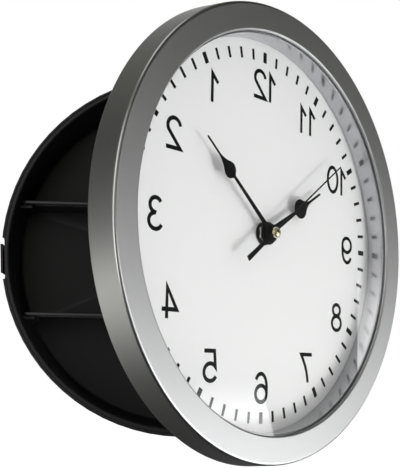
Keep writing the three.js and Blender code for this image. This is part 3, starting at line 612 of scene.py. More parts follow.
def battery_film():
    """Printed film round the battery: two plain bands along its length, with bare metal at the ends."""
    material, w, shader, _ = grained("BatteryFilm", 0.5 * MM, 0.001 * MM, values={
        "Roughness": 0.3, "Metallic": 0.55})
    low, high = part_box("battery")
    half_length = 25.5 * MM
    axis = (math.cos(OPEN_ANGLE), math.sin(OPEN_ANGLE), 0)
    place = w.add("ShaderNodeTexCoord").outputs["Object"]
    along = w.vector("DOT_PRODUCT", w.vector("SUBTRACT", place, tuple((low + high) / 2)), axis)
    share = w.ranged(w.math("DIVIDE", along, half_length), start=-1.1, end=1.1)
    bands = w.add("ShaderNodeValToRGB", {0: share})
    bands.color_ramp.interpolation = "CONSTANT"
    bare, blue, copper = (0.6, 0.61, 0.62), (0.03, 0.05, 0.10), (0.5, 0.33, 0.12)
    stops = [(0.0, bare), (0.055, blue), (0.62, copper), (0.93, bare)]
    elements = bands.color_ramp.elements
    while len(elements) < len(stops):
        elements.new(0.5)
    for element, (position, colour) in zip(elements, stops):
        element.position = position
        element.color = (*colour, 1)
    w.put(shader, "Base Color", bands.outputs[0])
    return material


def make_materials(finish):
    """Every material of the clock, by a short key."""
    lighter = [share * 1.6 for share in finish.ink]
    MATERIALS.update({
        "tub": moulded("BlackPlastic", finish.plastic, (0.05, 0.05, 0.052), 0.42, 0.35 * MM, 0.012 * MM),
        # the shelves' pale edge colour and strong edge mask paint the bright highlight line along their
        # front edges, besides wear
        "shelf": moulded("ShelfPlastic", (0.014, 0.014, 0.0145), (0.14, 0.14, 0.142), 0.38,
                         0.3 * MM, 0.01 * MM, wear_and_highlight=0.9, dust=0.08, specular=0.5),
        "pan": moulded("PanPlastic", (0.010, 0.010, 0.0105), (0.05, 0.05, 0.052), 0.5,
                       0.4 * MM, 0.02 * MM),
        "case": moulded("MovementPlastic", (0.02, 0.021, 0.023), (0.08, 0.08, 0.085), 0.5,
                        0.5 * MM, 0.03 * MM),
        "rubber": moulded("RubberBlack", (0.012, 0.012, 0.012), (0.05, 0.05, 0.05), 0.75,
                          0.3 * MM, 0.02 * MM),
        "silver": sprayed("SatinSilver", finish.silver, (0.565, 0.57, 0.575), 0.46, 1.0, polish=0.28),
        "gloss": sprayed("GlossSilver", (0.56, 0.56, 0.58), (0.50, 0.50, 0.52), 0.19, 0.85,
                         0.5 * MM, 0.001 * MM),
        "dial": printed("DialWhite", (0.80, 0.80, 0.795), finish.dial, 0.55, 0.25, 0.18 * MM, 0.001 * MM),
        "print": printed("DialPrint", finish.ink, lighter, 0.6, 0.03),
        "hand": printed("HandBlack", finish.ink, lighter, 0.34, 0.07),
        "lens": lens_glass(),
        "brass": metal("Brass", finish.cap, (0.58, 0.54, 0.33), 0.16),
        "pale_brass": metal("PaleBrass", (0.72, 0.70, 0.62), (0.52, 0.50, 0.43), 0.22),
        "steel": metal("Steel", (0.66, 0.67, 0.69), (0.45, 0.46, 0.48), 0.28),
        "battery": battery_film(),
    })


# Geometry node groups for what repeats

GEOMETRY = {"Geometry": "NodeSocketGeometry"}


def track_group():
    """Minute track: bars on a circle, every fifth one broader."""
    def wire(w, given):
        points = w.add("GeometryNodeMeshCircle", {"Vertices": given["Count"], "Radius": given["Radius"]})
        index = w.add("GeometryNodeInputIndex").outputs[0]
        rest = w.math("MODULO", index, given["Every"])
        is_hour = w.add("FunctionNodeCompare", {0: rest, 1: 0.5}, data_type="FLOAT", operation="LESS_THAN")
        width = w.add("GeometryNodeSwitch", {
            "False": given["Minute width"], "True": given["Hour width"], "Switch": is_hour.outputs[0],
        }, input_type="FLOAT")
        size = w.add("ShaderNodeCombineXYZ", {
            0: given["Bar length"], 1: width.outputs[0], 2: given["Thickness"]})
        bar = w.add("GeometryNodeMeshCube", {"Size": (1, 1, 1)})
        angle = w.math("MULTIPLY", w.math("DIVIDE", index, given["Count"]), 2 * math.pi)
        return [w.spread(points.outputs["Mesh"], bar.outputs["Mesh"], angle, given["Material"],
                         {"Scale": size.outputs[0]})]

    return node_group("MinuteTrack", "GeometryNodeTree", {
        "Radius": 102 * MM, "Bar length": 5.8 * MM, "Minute width": 1.5 * MM, "Hour width": 3 * MM,
        "Thickness": 0.04 * MM, "Count": 60, "Every": 5, "Material": "NodeSocketMaterial",
    }, GEOMETRY, wire)


def ring_group():
    """Copies of a given part on a circle, each turned with its place and a little at random."""
    def wire(w, given):
        points = w.add("GeometryNodeMeshCircle", {"Vertices": given["Count"], "Radius": given["Radius"]})
        spots = w.add("GeometryNodeTransform", {
            0: points.outputs["Mesh"], "Rotation": w.turn(given["First angle"])})
        share = w.math("DIVIDE", w.add("GeometryNodeInputIndex").outputs[0], given["Count"])
        angle = w.math("MULTIPLY_ADD", share, 2 * math.pi, given["First angle"])
        jitter = w.add("FunctionNodeRandomValue", {
            2: 0.0, 3: given["Spin spread"], "Seed": given["Seed"]}, data_type="FLOAT")
        total = w.math("ADD", angle, jitter.outputs[1])
        part = w.add("GeometryNodeObjectInfo", {"Object": given["Part"]})
        return [w.spread(spots.outputs[0], part.outputs["Geometry"], total, given["Material"])]

    return node_group("PartsOnCircle", "GeometryNodeTree", {
        "Part": "NodeSocketObject", "Radius": SCREW_CIRCLE, "Count": SCREW_COUNT,
        "First angle": math.radians(30), "Spin spread": 0.0, "Seed": 4, "Material": "NodeSocketMaterial",
    }, GEOMETRY, wire)


def softened_group():
    """Shading for carried-over parts: smooth across shallow angles, sharp across steep ones."""
    def wire(w, given):
        merged = w.add("GeometryNodeMergeByDistance", {0: given["Geometry"], "Distance": 1e-6})
        angle = w.add("GeometryNodeInputMeshEdgeAngle").outputs[0]
        steep = w.add("FunctionNodeCompare", {0: angle, 1: given["Sharp above"]},
                      data_type="FLOAT", operation="GREATER_THAN")
        shallow = w.add("FunctionNodeBooleanMath", {0: steep.outputs[0]}, operation="NOT")
        faces = w.add("GeometryNodeSetShadeSmooth", {0: merged.outputs[0], "Shade Smooth": True},
                      domain="FACE")
        edges = w.add("GeometryNodeSetShadeSmooth", {
            0: faces.outputs[0], "Shade Smooth": shallow.outputs[0]}, domain="EDGE")
        return [edges.outputs[0]]

    return node_group("SoftShading", "GeometryNodeTree", {
        "Geometry": "NodeSocketGeometry", "Sharp above": math.radians(28),
    }, GEOMETRY, wire)


def socket_id(tree, label):
    """Identifier of a group's input, by its name."""
    for item in tree.interface.items_tree:
        if item.item_type == "SOCKET" and item.in_out == "INPUT" and item.name == label:
            return item.identifier
    raise KeyError(label)


def run_nodes(tree, name, values):
    """Runs a geometry node group on an empty mesh and returns what it makes as a plain mesh."""
    holder = placed(name + "_holder", bpy.data.meshes.new(name + "_seed"))
    modifier = holder.modifiers.new("Nodes", "NODES")
    modifier.node_group = tree
    for label, value in values.items():
        modifier[socket_id(tree, label)] = value
    mesh = evaluated(holder)
    if not len(mesh.polygons):
        raise RuntimeError(f"{name}: the node group made no faces")
    return mesh


def on_circle(part, name, spread, material):
    """Copies of a part on the screws' circle, as one mesh."""
    swap_depth(part)
    flat = placed(name + "_flat", part)
    made = run_nodes(ring_group(), name, {
        "Part": flat, "Radius": SCREW_CIRCLE, "Count": SCREW_COUNT, "First angle": math.radians(30),
        "Spin spread": spread, "Seed": 4, "Material": MATERIALS[material]})
    bpy.data.objects.remove(flat)
    swap_depth(made)
    return joined([made], name)


# Numerals

def arc(cx, cy, rx, ry, start, end, steps=20):
    """Points of an oval's arc between two angles in degrees."""
    angles = [math.radians(start + (end - start) * k / steps) for k in range(steps + 1)]
    return [(cx + rx * math.cos(a), cy + ry * math.sin(a)) for a in angles]


def oval(cx, cy, rx, ry, start=90):
    """A closed oval stroke."""
    return arc(cx, cy, rx, ry, start, start + 351, 39), True


def smooth_line(points, steps=5):
    """A line through the points, rounded between them."""
    through = [Vector(p) for p in points]
    ends = [through[0] * 2 - through[1], *through, through[-1] * 2 - through[-2]]
    made = []
    for i in range(1, len(ends) - 2):
        p0, p1, p2, p3 = ends[i - 1:i + 3]
        for k in range(steps):
            u = k / steps
            made.append(0.5 * ((2 * p1) + (p2 - p0) * u + (2 * p0 - 5 * p1 + 4 * p2 - p3) * u * u
                               + (3 * p1 - p0 - 3 * p2 + p3) * u * u * u))
    return [tuple(p) for p in [*made, through[-1]]]


def numeral_strokes():
    """Centre lines (points, cyclic) of light plain numerals, by digit.

    They stand on y = 0, one cap height tall, with x to the right.
    """
    base = 0.047
    top = 1 - base
    bow = arc(0.33, 0.70, 0.27, top - 0.70, 172, -28, 26)
    upper = arc(0.31, 0.735, 0.235, top - 0.735, 150, -82, 26)
    lower = arc(0.31, 0.27, 0.27, 0.27 - base + 0.012, 82, -158, 28)
    bowl = arc(0.31, 0.31, 0.29, 0.31 - base, 142, -152, 34)
    leg = smooth_line([(0.66, top), (0.50, 0.70), (0.36, 0.40), (0.27, 0.0)])
    stem = smooth_line([(0.055, 0.31), (0.055, 0.52), (0.075, 0.68), (0.14, 0.83), (0.24, 0.92),
                        (0.35, top), (0.46, 0.925), (0.55, 0.85), (0.60, 0.76)])
    six = [oval(0.34, 0.31, 0.285, 0.31 - base, 180), (stem, False)]
    # the nine is the six turned upside down
    nine = [([(0.7 - x, 1 - y) for x, y in line], cyclic) for line, cyclic in six]
    return {
        "0": [oval(0.36, 0.5, 0.31, 0.5 - base)],
        "1": [([(0.06, 0.66), (0.335, top - 0.02), (0.335, 0.0)], False)],
        "2": [([*bow, (0.05, base), (0.66, base)], False)],
        "3": [([*upper, *lower], False)],
        "4": [([(0.47, 0.0), (0.47, top - 0.03), (0.05, 0.27), (0.68, 0.27)], False)],
        "5": [([(0.60, top), (0.13, top), (0.085, 0.50), *bowl], False)],
        "6": six,
        "7": [([(0.03, top), (0.66, top), *leg[1:]], False)],
        "8": [oval(0.34, 0.755, 0.225, top - 0.755), oval(0.34, 0.285, 0.285, 0.285 - base + 0.012)],
        "9": nine,
    }


def ink_sides(strokes, width):
    """Left and right ends of a numeral's ink."""
    across = [point[0] for line, _ in strokes for point in line]
    return min(across) - width / 2, max(across) + width / 2


def set_number(number, width):
    """Strokes of a number's digits side by side, centred on x = 0. The width is a stroke's."""
    gap = 0.13
    strokes, cursor = [], 0.0
    for digit in str(number):
        shapes = numeral_strokes()[digit]
        low, high = ink_sides(shapes, width)
        strokes += [([(x + cursor - low, y) for x, y in line], cyclic) for line, cyclic in shapes]
        cursor += high - low + gap
    middle = (cursor - gap) / 2
    return [([(x - middle, y) for x, y in line], cyclic) for line, cyclic in strokes]


# Settings

def length_property(name, description, default):
    """A setting that is a length."""
    return bpy.props.FloatProperty(
        name=name, description=description, default=default, unit="LENGTH", subtype="DISTANCE")


def colour_property(name, description, default):
    """A setting that is a colour."""
    return bpy.props.FloatVectorProperty(
        name=name, description=description, default=default, subtype="COLOR", min=0.0, max=1.0)


class ClockDialSettings(bpy.types.PropertyGroup):
    track_radius: length_property("Track radius", "Radius of the middle of the minute bars", 101.3 * MM)
    bar_length: length_property("Bar length", "Length of each minute bar", 6.2 * MM)
    minute_width: length_property("Minute bar width", "Width of a minute bar", 1.9 * MM)
    hour_width: length_property("Hour bar width", "Width of a bar at an hour", 3 * MM)
    numeral_radius: length_property(
        "Numeral radius", "Radius of the circle that the numerals stand on", 85 * MM)
    cap_height: length_property("Cap height", "Height of the numerals", 17.0 * MM)
    stroke: length_property("Stroke", "Width of a numeral's stroke", 2.2 * MM)
    print_thickness: length_property(
        "Print thickness", "How far the print stands on the dial", 0.05 * MM)


class ClockDoorSettings(bpy.types.PropertyGroup):
    steps: bpy.props.IntProperty(
        name="Steps", description="Facets round the bezel", default=240, min=24)
    bead_radius: length_property(
        "Bead radius", "Roundness of the bead between the face and the skirt", 1.5 * MM)
    lip_radius: length_property("Lip radius", "Roundness of the bezel's inner lip", 0.8 * MM)


class ClockShelfSettings(bpy.types.PropertyGroup):
    thickness: length_property("Thickness", "Thickness of a shelf", 2.3 * MM)
    edge_radius: length_property("Edge radius", "Roundness of a shelf's edges", 0.6 * MM)
    lip_setback: length_property(
        "Lip setback", "How far the lip stands behind the front edge", 3.0 * MM)
    lip_drop: length_property("Lip drop", "How far the lip hangs under the shelf", 0.2 * MM)


class ClockFinishSettings(bpy.types.PropertyGroup):
    plastic: colour_property("Plastic", "Plastic of the tub", (0.0105, 0.0105, 0.011))
    silver: colour_property("Silver", "Paint of the bezel", (0.635, 0.64, 0.645))
    dial: colour_property("Dial", "White of the dial", (0.86, 0.86, 0.855))
    ink: colour_property("Ink", "Black of the dial's print and of the hands", (0.004, 0.004, 0.005))
    cap: colour_property("Cap", "Metal of the cap on the second hand", (0.80, 0.76, 0.52))


class ClockStageSettings(bpy.types.PropertyGroup):
    focal_length: bpy.props.FloatProperty(
        name="Focal length", description="Camera focal length in millimetres, on a 36 mm long side",
        default=69.46)
    floor_drop: length_property("Floor drop", "How far the floor lies below the clock's centre", 0.75)
    fill_power: bpy.props.FloatProperty(
        name="Fill light", description="Power of the soft light at the front left in watts", default=2.0)
    sky: bpy.props.FloatProperty(
        name="Sky", description="Brightness of the surroundings as a source of light", default=0.70)
    key_power: bpy.props.FloatProperty(
        name="Key light", description="Power of the small lamp on the right in watts", default=3.8)


# Door

def bezel_outline(settings):
    """Bezel (r, depth): a face with a rolled lip and a bead, a drafted skirt, and the rib for the lens."""
    bead, lip = settings.bead_radius, settings.lip_radius
    opening, face, skirt = 110 * MM, 125.35 * MM, 127 * MM
    skirt_inside, back, seat = 124.6 * MM, 2.4 * MM, 1.4 * MM
    rib_inner, rib_outer, rib_depth = 112.6 * MM, 114.4 * MM, 5 * MM
    corners = [
        (opening, seat, 0.12 * MM),
        (opening, 0.7 * MM, lip),
        (opening + 0.7 * MM, 0, lip),
        (face, 0, bead),
        (skirt, BEZEL_DEPTH, 0.5 * MM),
        (skirt_inside, BEZEL_DEPTH, 0.3 * MM),
        (skirt_inside - 2 * MM, back, 0.4 * MM),
        (rib_outer, back, 0.3 * MM),
        (rib_outer, rib_depth, 0.2 * MM),
        (rib_inner, rib_depth, 0.2 * MM),
        (rib_inner, seat, 0.1 * MM),
    ]
    return braced(rounded(corners), 0.3 * MM)


def hinge_slots():
    """Blocks that open the bezel's skirt where the two hinge knuckles pass."""
    across, depth, height = 124 * MM, 13.8 * MM, 27 * MM
    size = (9 * MM, 7 * MM, 10.8 * MM)
    return [block("slot", (across, depth, z), size) for z in (height, -height)]


def screw_bosses():
    """Hollow bosses inside the bezel for the pan's screws."""
    outline = scaled((0, 2.35), (2.3, 2.35), (2.3, 10.2), (2.1, 10.4), (0.95, 10.4), (0.95, 4.0), (0, 4.0))
    return on_circle(revolve(outline, 32, "boss", closed=False), "bosses", 0.0, "silver")


def inner_ring(steps):
    """Glossy sleeve between the lens and the dial, with a flange at its front."""
    outline = rounded(scaled(
        (109.0, 3.35, 0.25), (112.3, 3.35, 0.2), (112.3, 4.9, 0.2), (111.3, 4.9, 0.3),
        (110.8, 14.7, 0.2), (109.2, 14.7, 0.3), (109.65, 4.9, 0.3), (109.0, 4.2, 0.25)), 4)
    return revolve(outline, steps, "ring")


def hub_arc(hub, start, end, steps):
    """Points of a hub's round between two angles from its top, without the ends."""
    angles = [start + (end - start) * k / steps for k in range(1, steps)]
    return [(-hub * math.sin(a), hub * math.cos(a)) for a in angles]


def spade_side(hub, length, root, neck, tip, spade, centre, shoulder):
    """Half outline of a spade hand that points up, as (half width, height) from the hub to the tip."""
    start = math.asin(root / 2 / hub)
    low = math.asin(neck / 2 / spade)
    points = [(root / 2, hub * math.cos(start)), (neck / 2, centre - spade * math.cos(low) - 0.7 * MM)]
    # the blade narrows to the neck and then swells into the spade's round, which starts past a small hollow
    hollow = 0.12
    first, last = low + hollow - math.pi / 2, math.radians(28)
    steps = 12
    for k in range(steps + 1):
        a = first + (last - first) * k / steps
        points.append((spade * math.cos(a), centre + spade * math.sin(a)))
    # a curve from the spade's side to the thin tip, drawn in by a point near the blade's middle line
    bend_width, bend_height, end_width = 1.5, 0.62, 1.15
    x0, y0 = points[-1]
    x1, y1 = tip / 2 * bend_width, centre + (shoulder - centre) * bend_height
    x2, y2 = tip / 2 * end_width, shoulder
    steps = 10
    for k in range(1, steps + 1):
        u = k / steps
        a, b, c = (1 - u) ** 2, 2 * u * (1 - u), u * u
        points.append((a * x0 + b * x1 + c * x2, a * y0 + b * y1 + c * y2))
    return [*points, (tip / 2, length - tip / 2)]


def spade_outline(angle, **sizes):
    """Closed outline of a spade hand, turned to its angle."""
    side = spade_side(**sizes)
    hub, half_tip = sizes["hub"], sizes["tip"] / 2
    start = math.asin(sizes["root"] / 2 / hub)
    end = [(half_tip * math.sin(a), sizes["length"] - half_tip + half_tip * math.cos(a))
           for a in map(math.radians, (60, 30, 0, -30, -60))]
    other_side = [(-x, y) for x, y in reversed(side)]
    loop = [*side, *end, *other_side, *hub_arc(hub, start, 2 * math.pi - start, 48)]
    return [turned(x, y, angle) for x, y in loop]


def needle_outline(angle, hub, length, root, tip, tail, tail_root, tail_end):
    """Closed outline of the second hand: a needle, a round boss and a broad tail."""
    top = math.asin(root / 2 / hub)
    low = math.asin(tail_root / 2 / hub)
    root_y, tail_y = hub * math.cos(top), -hub * math.cos(low)
    loop = [
        (root / 2, root_y), (tip / 2, length - tip / 2), (0, length), (-tip / 2, length - tip / 2),
        (-root / 2, root_y),
        *hub_arc(hub, top, math.pi - low, 16),
        (-tail_root / 2, tail_y), (-tail_end / 2, -tail), (tail_end / 2, -tail), (tail_root / 2, tail_y),
        *hub_arc(hub, math.pi + low, 2 * math.pi - top, 16),
    ]
    return [turned(x, y, angle) for x, y in loop]


def collar(bore, hub, depth, name):
    """Raised round collar on a hand's hub."""
    front, rear = depth - 0.4 * MM, depth + 0.2 * MM
    outline = [(bore, front, 0.1 * MM), (hub - 0.9 * MM, front, 0.25 * MM), (hub - 0.5 * MM, rear, 0),
               (bore, rear, 0)]
    return revolve(rounded(outline), 64, name + "_collar")


# Operators

class CLOCKSAFE_OT_materials(bpy.types.Operator):
    """Makes the materials and gives every carried-over part its own"""

    bl_idname = "clocksafe.materials"
    bl_label = "Materials"

    carried = {
        "tub": ["tub", "latch_tongue"],
        "pan": ["door_pan"],
        "case": ["movement_case", "set_knob"],
        "steel": ["hinge_pin_upper", "hinge_pin_lower", "contact_flat", "second_arbor"],
        "pale_brass": ["shaft_bush", "shaft_nut", "hour_tube", "minute_arbor"],
        "rubber": ["shaft_washer"],
        "lens": ["lens"],
        "dial": ["dial_plate"],
        "battery": ["battery"],
    }

    def execute(self, context):
        make_materials(context.scene.clocksafe_finish)
        for key, names in self.carried.items():
            for name in names:
                self.dress(FRAME["nodes"][name], MATERIALS[key])
        return {"FINISHED"}

    @staticmethod
    def dress(node, material):
        """Gives a carried-over part its material and softer shading."""
        if not node.data.materials:
            node.data.materials.append(material)
        for slot in node.material_slots:
            slot.material = material
        modifier = node.modifiers.new("SoftShading", "NODES")
        modifier.node_group = softened_group()


class CLOCKSAFE_OT_bezel(bpy.types.Operator):
    """Builds the silver bezel and the glossy ring inside it"""

    bl_idname = "clocksafe.bezel"
    bl_label = "Bezel and inner ring"

    def execute(self, context):
        settings = context.scene.clocksafe_door
        ring = cut(revolve(bezel_outline(settings), settings.steps, "bezel"), hinge_slots())
        face = shade(hang(joined([ring, screw_bosses()], "bezel_face")), 35)
        add_piece(face, "bezel_face", "door", "silver", ["bezel_ring"])
        lining = shade(hang(inner_ring(settings.steps)), 35)
        add_piece(lining, "gloss_ring", "door", "gloss", ["inner_ring"])
        return {"FINISHED"}


class CLOCKSAFE_OT_shelves(bpy.types.Operator):
    """Builds the two shelves with rounded edges and a lip under the front"""

    bl_idname = "clocksafe.shelves"
    bl_label = "Shelves"

    heights = {"upper": 32 * MM, "lower": -42 * MM}
    front = -36 * MM
    corner = 3 * MM
    lip_width = 1.8 * MM
    # the tub's inside, whose wall is drafted from the floor to the mouth
    floor_y, mouth_y = -2 * MM, -46 * MM
    floor_radius, mouth_radius = 112.6 * MM, 114.4 * MM
    floor_round = 2.5 * MM
    gap = 0.3 * MM
    # the lip's ends keep clear of the ledges, as they do in the model for its deeper lip
    ledge_width = 6 * MM
    model_lip_drop = 1.4 * MM

    def execute(self, context):
        settings = context.scene.clocksafe_shelves
        for name, height in self.heights.items():
            mesh = joined([self.board(name, height, settings), self.lip(height, settings)], name)
            add_piece(shade(mesh, 40), name + "_shelf", "housing", "shelf",
                      ["shelf_" + name])
        return {"FINISHED"}

    def half_width(self, height, y):
        """Half of the tub's inside width at a height and at a place between its floor and mouth."""
        share = (y - self.floor_y) / (self.mouth_y - self.floor_y)
        radius = self.floor_radius + (self.mouth_radius - self.floor_radius) * share
        return math.sqrt(radius ** 2 - height ** 2)

    def board(self, name, height, settings):
        """The flat board: cut back at the floor's round, and with round front corners."""
        highest = abs(height) + settings.thickness / 2
        rear = self.floor_y - self.gap
        round_end = rear - self.floor_round
        wall_half = self.half_width(highest, round_end)
        front_half = self.half_width(highest, self.front) - self.gap
        side = [(wall_half - self.floor_round, rear), (wall_half - self.gap, round_end),
                (front_half, self.front + self.corner)]
        for k in range(1, 9):
            a = math.pi / 2 * k / 8
            side.append((front_half - self.corner * (1 - math.cos(a)),
                         self.front + self.corner * (1 - math.sin(a))))
        outline = side + [(-x, y) for x, y in reversed(side)]
        board = plate(outline, settings.thickness, name, settings.edge_radius)
        board.transform(Matrix.Translation((0, 0, height)))
        return board

    def lip(self, height, settings):
        """The lip under the board, let into it a little."""
        lowest = abs(height) + settings.thickness / 2 + self.model_lip_drop
        half = self.half_width(lowest, self.front) - self.corner - self.ledge_width
        underside = height - settings.thickness / 2
        top, base = underside + 0.3 * MM, underside - settings.lip_drop
        middle = self.front + settings.lip_setback + self.lip_width / 2
        size = (2 * half, self.lip_width, top - base)
        return block("lip", (0, middle, (top + base) / 2), size, 0.25 * MM)


class CLOCKSAFE_OT_dial(bpy.types.Operator):
    """Prints the minute track and the numerals on the dial"""

    bl_idname = "clocksafe.dial"
    bl_label = "Dial print"

    def execute(self, context):
        settings = context.scene.clocksafe_dial
        add_piece(self.track(settings), "minute_track", "door", "print")
        add_piece(self.numerals(settings), "numerals", "door", "print")
        return {"FINISHED"}

    @staticmethod
    def track(settings):
        """The minute track, from its node group."""
        thickness = settings.print_thickness
        track = run_nodes(track_group(), "minute_track", {
            "Radius": settings.track_radius, "Bar length": settings.bar_length,
            "Minute width": settings.minute_width, "Hour width": settings.hour_width,
            "Thickness": thickness, "Count": 60, "Every": 5, "Material": MATERIALS["print"]})
        return hang(stand(track, DIAL_DEPTH - thickness / 2))

    @staticmethod
    def numerals(settings):
        """The numerals as in a mirror: drawn backwards and running anticlockwise.

        Each stroke of a number stands a little higher than the one before, where they cross.
        """
        bm = bmesh.new()
        cap = settings.cap_height
        rear = DIAL_DEPTH - 0.002 * MM
        for hour in range(1, 13):
            angle = math.radians(90 + 30 * hour)
            centre_x = settings.numeral_radius * math.cos(angle)
            centre_z = settings.numeral_radius * math.sin(angle)
            for layer, (points, cyclic) in enumerate(set_number(hour, settings.stroke / cap)):
                line = [(centre_x - x * cap, centre_z + (y - 0.5) * cap) for x, y in points]
                front = DIAL_DEPTH - settings.print_thickness * (1 + 0.2 * layer)
                add_stroke(bm, line, settings.stroke, front, rear, cyclic)
        return hang(finished(bm, "numerals"))


class CLOCKSAFE_OT_hands(bpy.types.Operator):
    """Builds the spade hands, the second hand and the brass cap"""

    bl_idname = "clocksafe.hands"
    bl_label = "Hands"

    angles = {"hour": math.radians(-59), "minute": math.radians(51), "second": math.radians(-53.5)}
    bores = {"hour": 2.9 * MM, "minute": 1.9 * MM, "second": 0.8 * MM}
    # in millimetres: radii of the hub and the spade, widths of the root, neck and tip, and heights of
    # the spade's middle, of where it ends in the thin tip and of the tip's end
    blades = {
        "hour": dict(hub=6.4, root=4.2, neck=2.2, spade=5.7, tip=1.3, centre=35, shoulder=46, length=58),
        "minute": dict(hub=5.3, root=3, neck=1.8, spade=4.6, tip=1, centre=46.5, shoulder=57.5, length=70),
    }
    needle = dict(hub=2.6, length=82, root=1.1, tip=0.7, tail=28, tail_root=1.9, tail_end=3.1)

    def execute(self, context):
        for name, blade in self.blades.items():
            sizes = {key: value * MM for key, value in blade.items()}
            outline = spade_outline(self.angles[name], **sizes)
            blade_mesh = self.flat(name, outline, 40, 0.12 * MM)
            ring = collar(self.bores[name], sizes["hub"], HAND_DEPTHS[name], name)
            mesh = shade(hang(joined([blade_mesh, ring], name)), 40)
            add_piece(mesh, name + "_spade", name, "hand", [name + "_hand"])
        sizes = {key: value * MM for key, value in self.needle.items()}
        needle = self.flat("second", needle_outline(self.angles["second"], **sizes), 24, 0.08 * MM)
        add_piece(shade(hang(needle), 40), "second_needle", "second", "hand", ["second_hand"])
        add_piece(shade(hang(self.cap()), 50), "brass_cap", "second", "brass", ["second_cap"])
        return {"FINISHED"}

    def flat(self, name, outline, bore_steps, bevel):
        """A hand's flat blade with its bore."""
        bore = circle(self.bores[name], bore_steps)
        blade = plate(outline, HAND_THICKNESS, name + "_blade", bevel, [bore])
        return stand(blade, HAND_DEPTHS[name] + HAND_THICKNESS / 2)

    @staticmethod
    def cap():
        """Brass cap: a low wall under a dome."""
        radius, wall, rise, edge = 3.1 * MM, 0.7 * MM, 2.2 * MM, 0.08 * MM
        rear = HAND_DEPTHS["second"] - 0.3 * MM
        outline = [(0, rear), (radius - edge, rear), (radius, rear - edge), (radius, rear - wall),
                   *dome(radius, rear - wall, -rise, 12)]
        return revolve(outline, 48, "cap", closed=False)


class CLOCKSAFE_OT_fixings(bpy.types.Operator):
    """Builds the cross-headed screws and the battery spring"""

    bl_idname = "clocksafe.fixings"
    bl_label = "Fixings"

    def execute(self, context):
        screws = on_circle(self.screw(), "pan_screws", 1.5, "steel")
        add_piece(shade(hang(screws), 35), "pan_screws", "door", "steel",
                  [f"pan_screw_{i}" for i in range(1, SCREW_COUNT + 1)])
        add_piece(shade(hang(self.spring()), 40), "battery_spring", "door", "steel",
                  ["contact_spring"])
        return {"FINISHED"}

    @staticmethod
    def screw():
        """A pan-head screw with a cross cut in its head, on the door's axis."""
        shank, head, seat = 0.9 * MM, 1.9 * MM, 13.0 * MM
        edge, rise = seat + 0.45 * MM, 0.75 * MM
        outline = [(0, seat - 7 * MM), (0.5 * MM, seat - 7 * MM), (shank, seat - 6.2 * MM), (shank, seat),
                   (head, seat), (head, edge), *dome(head, edge, rise, 7)]
        wide, narrow, deep = 2.3 * MM, 0.5 * MM, 1.2 * MM
        slots = [block("slot", (0, seat + 1.1 * MM, 0), size)
                 for size in ((wide, deep, narrow), (narrow, deep, wide))]
        return cut(revolve(outline, 32, "screw", closed=False), slots)

    @staticmethod
    def spring():
        """Battery contact: a plate against the bay's end and a coil that narrows away from it."""
        left, right = -26.4 * MM, -25.9 * MM
        depth, height = 27.2 * MM, -17.6 * MM
        base = block("contact_plate", ((left + right) / 2, depth, height),
                     (right - left, 11 * MM, 9 * MM), 0.12 * MM)
        wire_radius, base_radius, taper, rise = 0.35 * MM, 4.2 * MM, 2.2 * MM, 1.3 * MM
        turns, steps, sides = 3, 96, 8
        bm = bmesh.new()
        rings = []
        for i in range(steps + 1):
            t = i / steps
            a = 2 * math.pi * turns * t
            out = Vector((0, math.cos(a), math.sin(a)))
            here = Vector((right + 0.2 * MM + rise * t, depth, height)) + (base_radius - taper * t) * out
            rings.append([bm.verts.new(here + out * x + Vector((z, 0, 0)))
                          for x, z in circle(wire_radius, sides)])
        for a, b in zip(rings, rings[1:]):
            for k in range(sides):
                n = (k + 1) % sides
                bm.faces.new((a[k], a[n], b[n], b[k]))
        bm.faces.new(rings[0])
        bm.faces.new(list(reversed(rings[-1])))
        return joined([base, finished(bm, "coil")], "spring")


# Stage

def card(name, corners, strength, heights=(0.0, 1.0), lights=False, tint=(1, 1, 1)):
    """Studio card that the camera doesn't see: its glow goes from one strength to another with height.

    A card that doesn't light only shows in reflections, and lets the surroundings' light through.
    """
    mesh = bpy.data.meshes.new(name)
    mesh.from_pydata(corners, [], [tuple(range(len(corners)))])
    holder = placed(name, mesh)
    material = bpy.data.materials.new(name)
    w = emptied(material)
    place = w.add("ShaderNodeTexCoord").outputs["Object"]
    z = w.add("ShaderNodeSeparateXYZ", {0: place}).outputs["Z"]
    level = w.ranged(z, *heights, *strength, interpolation_type="SMOOTHSTEP")
    glow = w.add("ShaderNodeEmission", {"Color": (*tint, 1), "Strength": level})
    w.add("ShaderNodeOutputMaterial", {"Surface": glow.outputs[0]})
    mesh.materials.append(material)
    holder.visible_camera = False
    holder.visible_diffuse = lights
    holder.visible_shadow = lights


def across_x(x, y0, y1, z0, z1):
    """Corners of a card that stands across X."""
    return [(x, y0, z0), (x, y1, z0), (x, y1, z1), (x, y0, z1)]


def across_y(y, x0, x1, z0, z1):
    """Corners of a card that stands across Y."""
    return [(x0, y, z0), (x1, y, z0), (x1, y, z1), (x0, y, z1)]


def lying(z, x0, x1, y0, y1):
    """Corners of a card that lies level."""
    return [(x0, y0, z), (x1, y0, z), (x1, y1, z), (x0, y1, z)]


def area_lamp(name, place, target, width, height, power):
    """Rectangular lamp that points at a target."""
    lamp = bpy.data.lights.new(name, "AREA")
    lamp.shape = "RECTANGLE"
    lamp.size, lamp.size_y = width, height
    lamp.energy = power
    holder = placed(name, lamp)
    holder.location = place
    holder.rotation_euler = (Vector(target) - Vector(place)).to_track_quat("-Z", "Y").to_euler()
    return holder


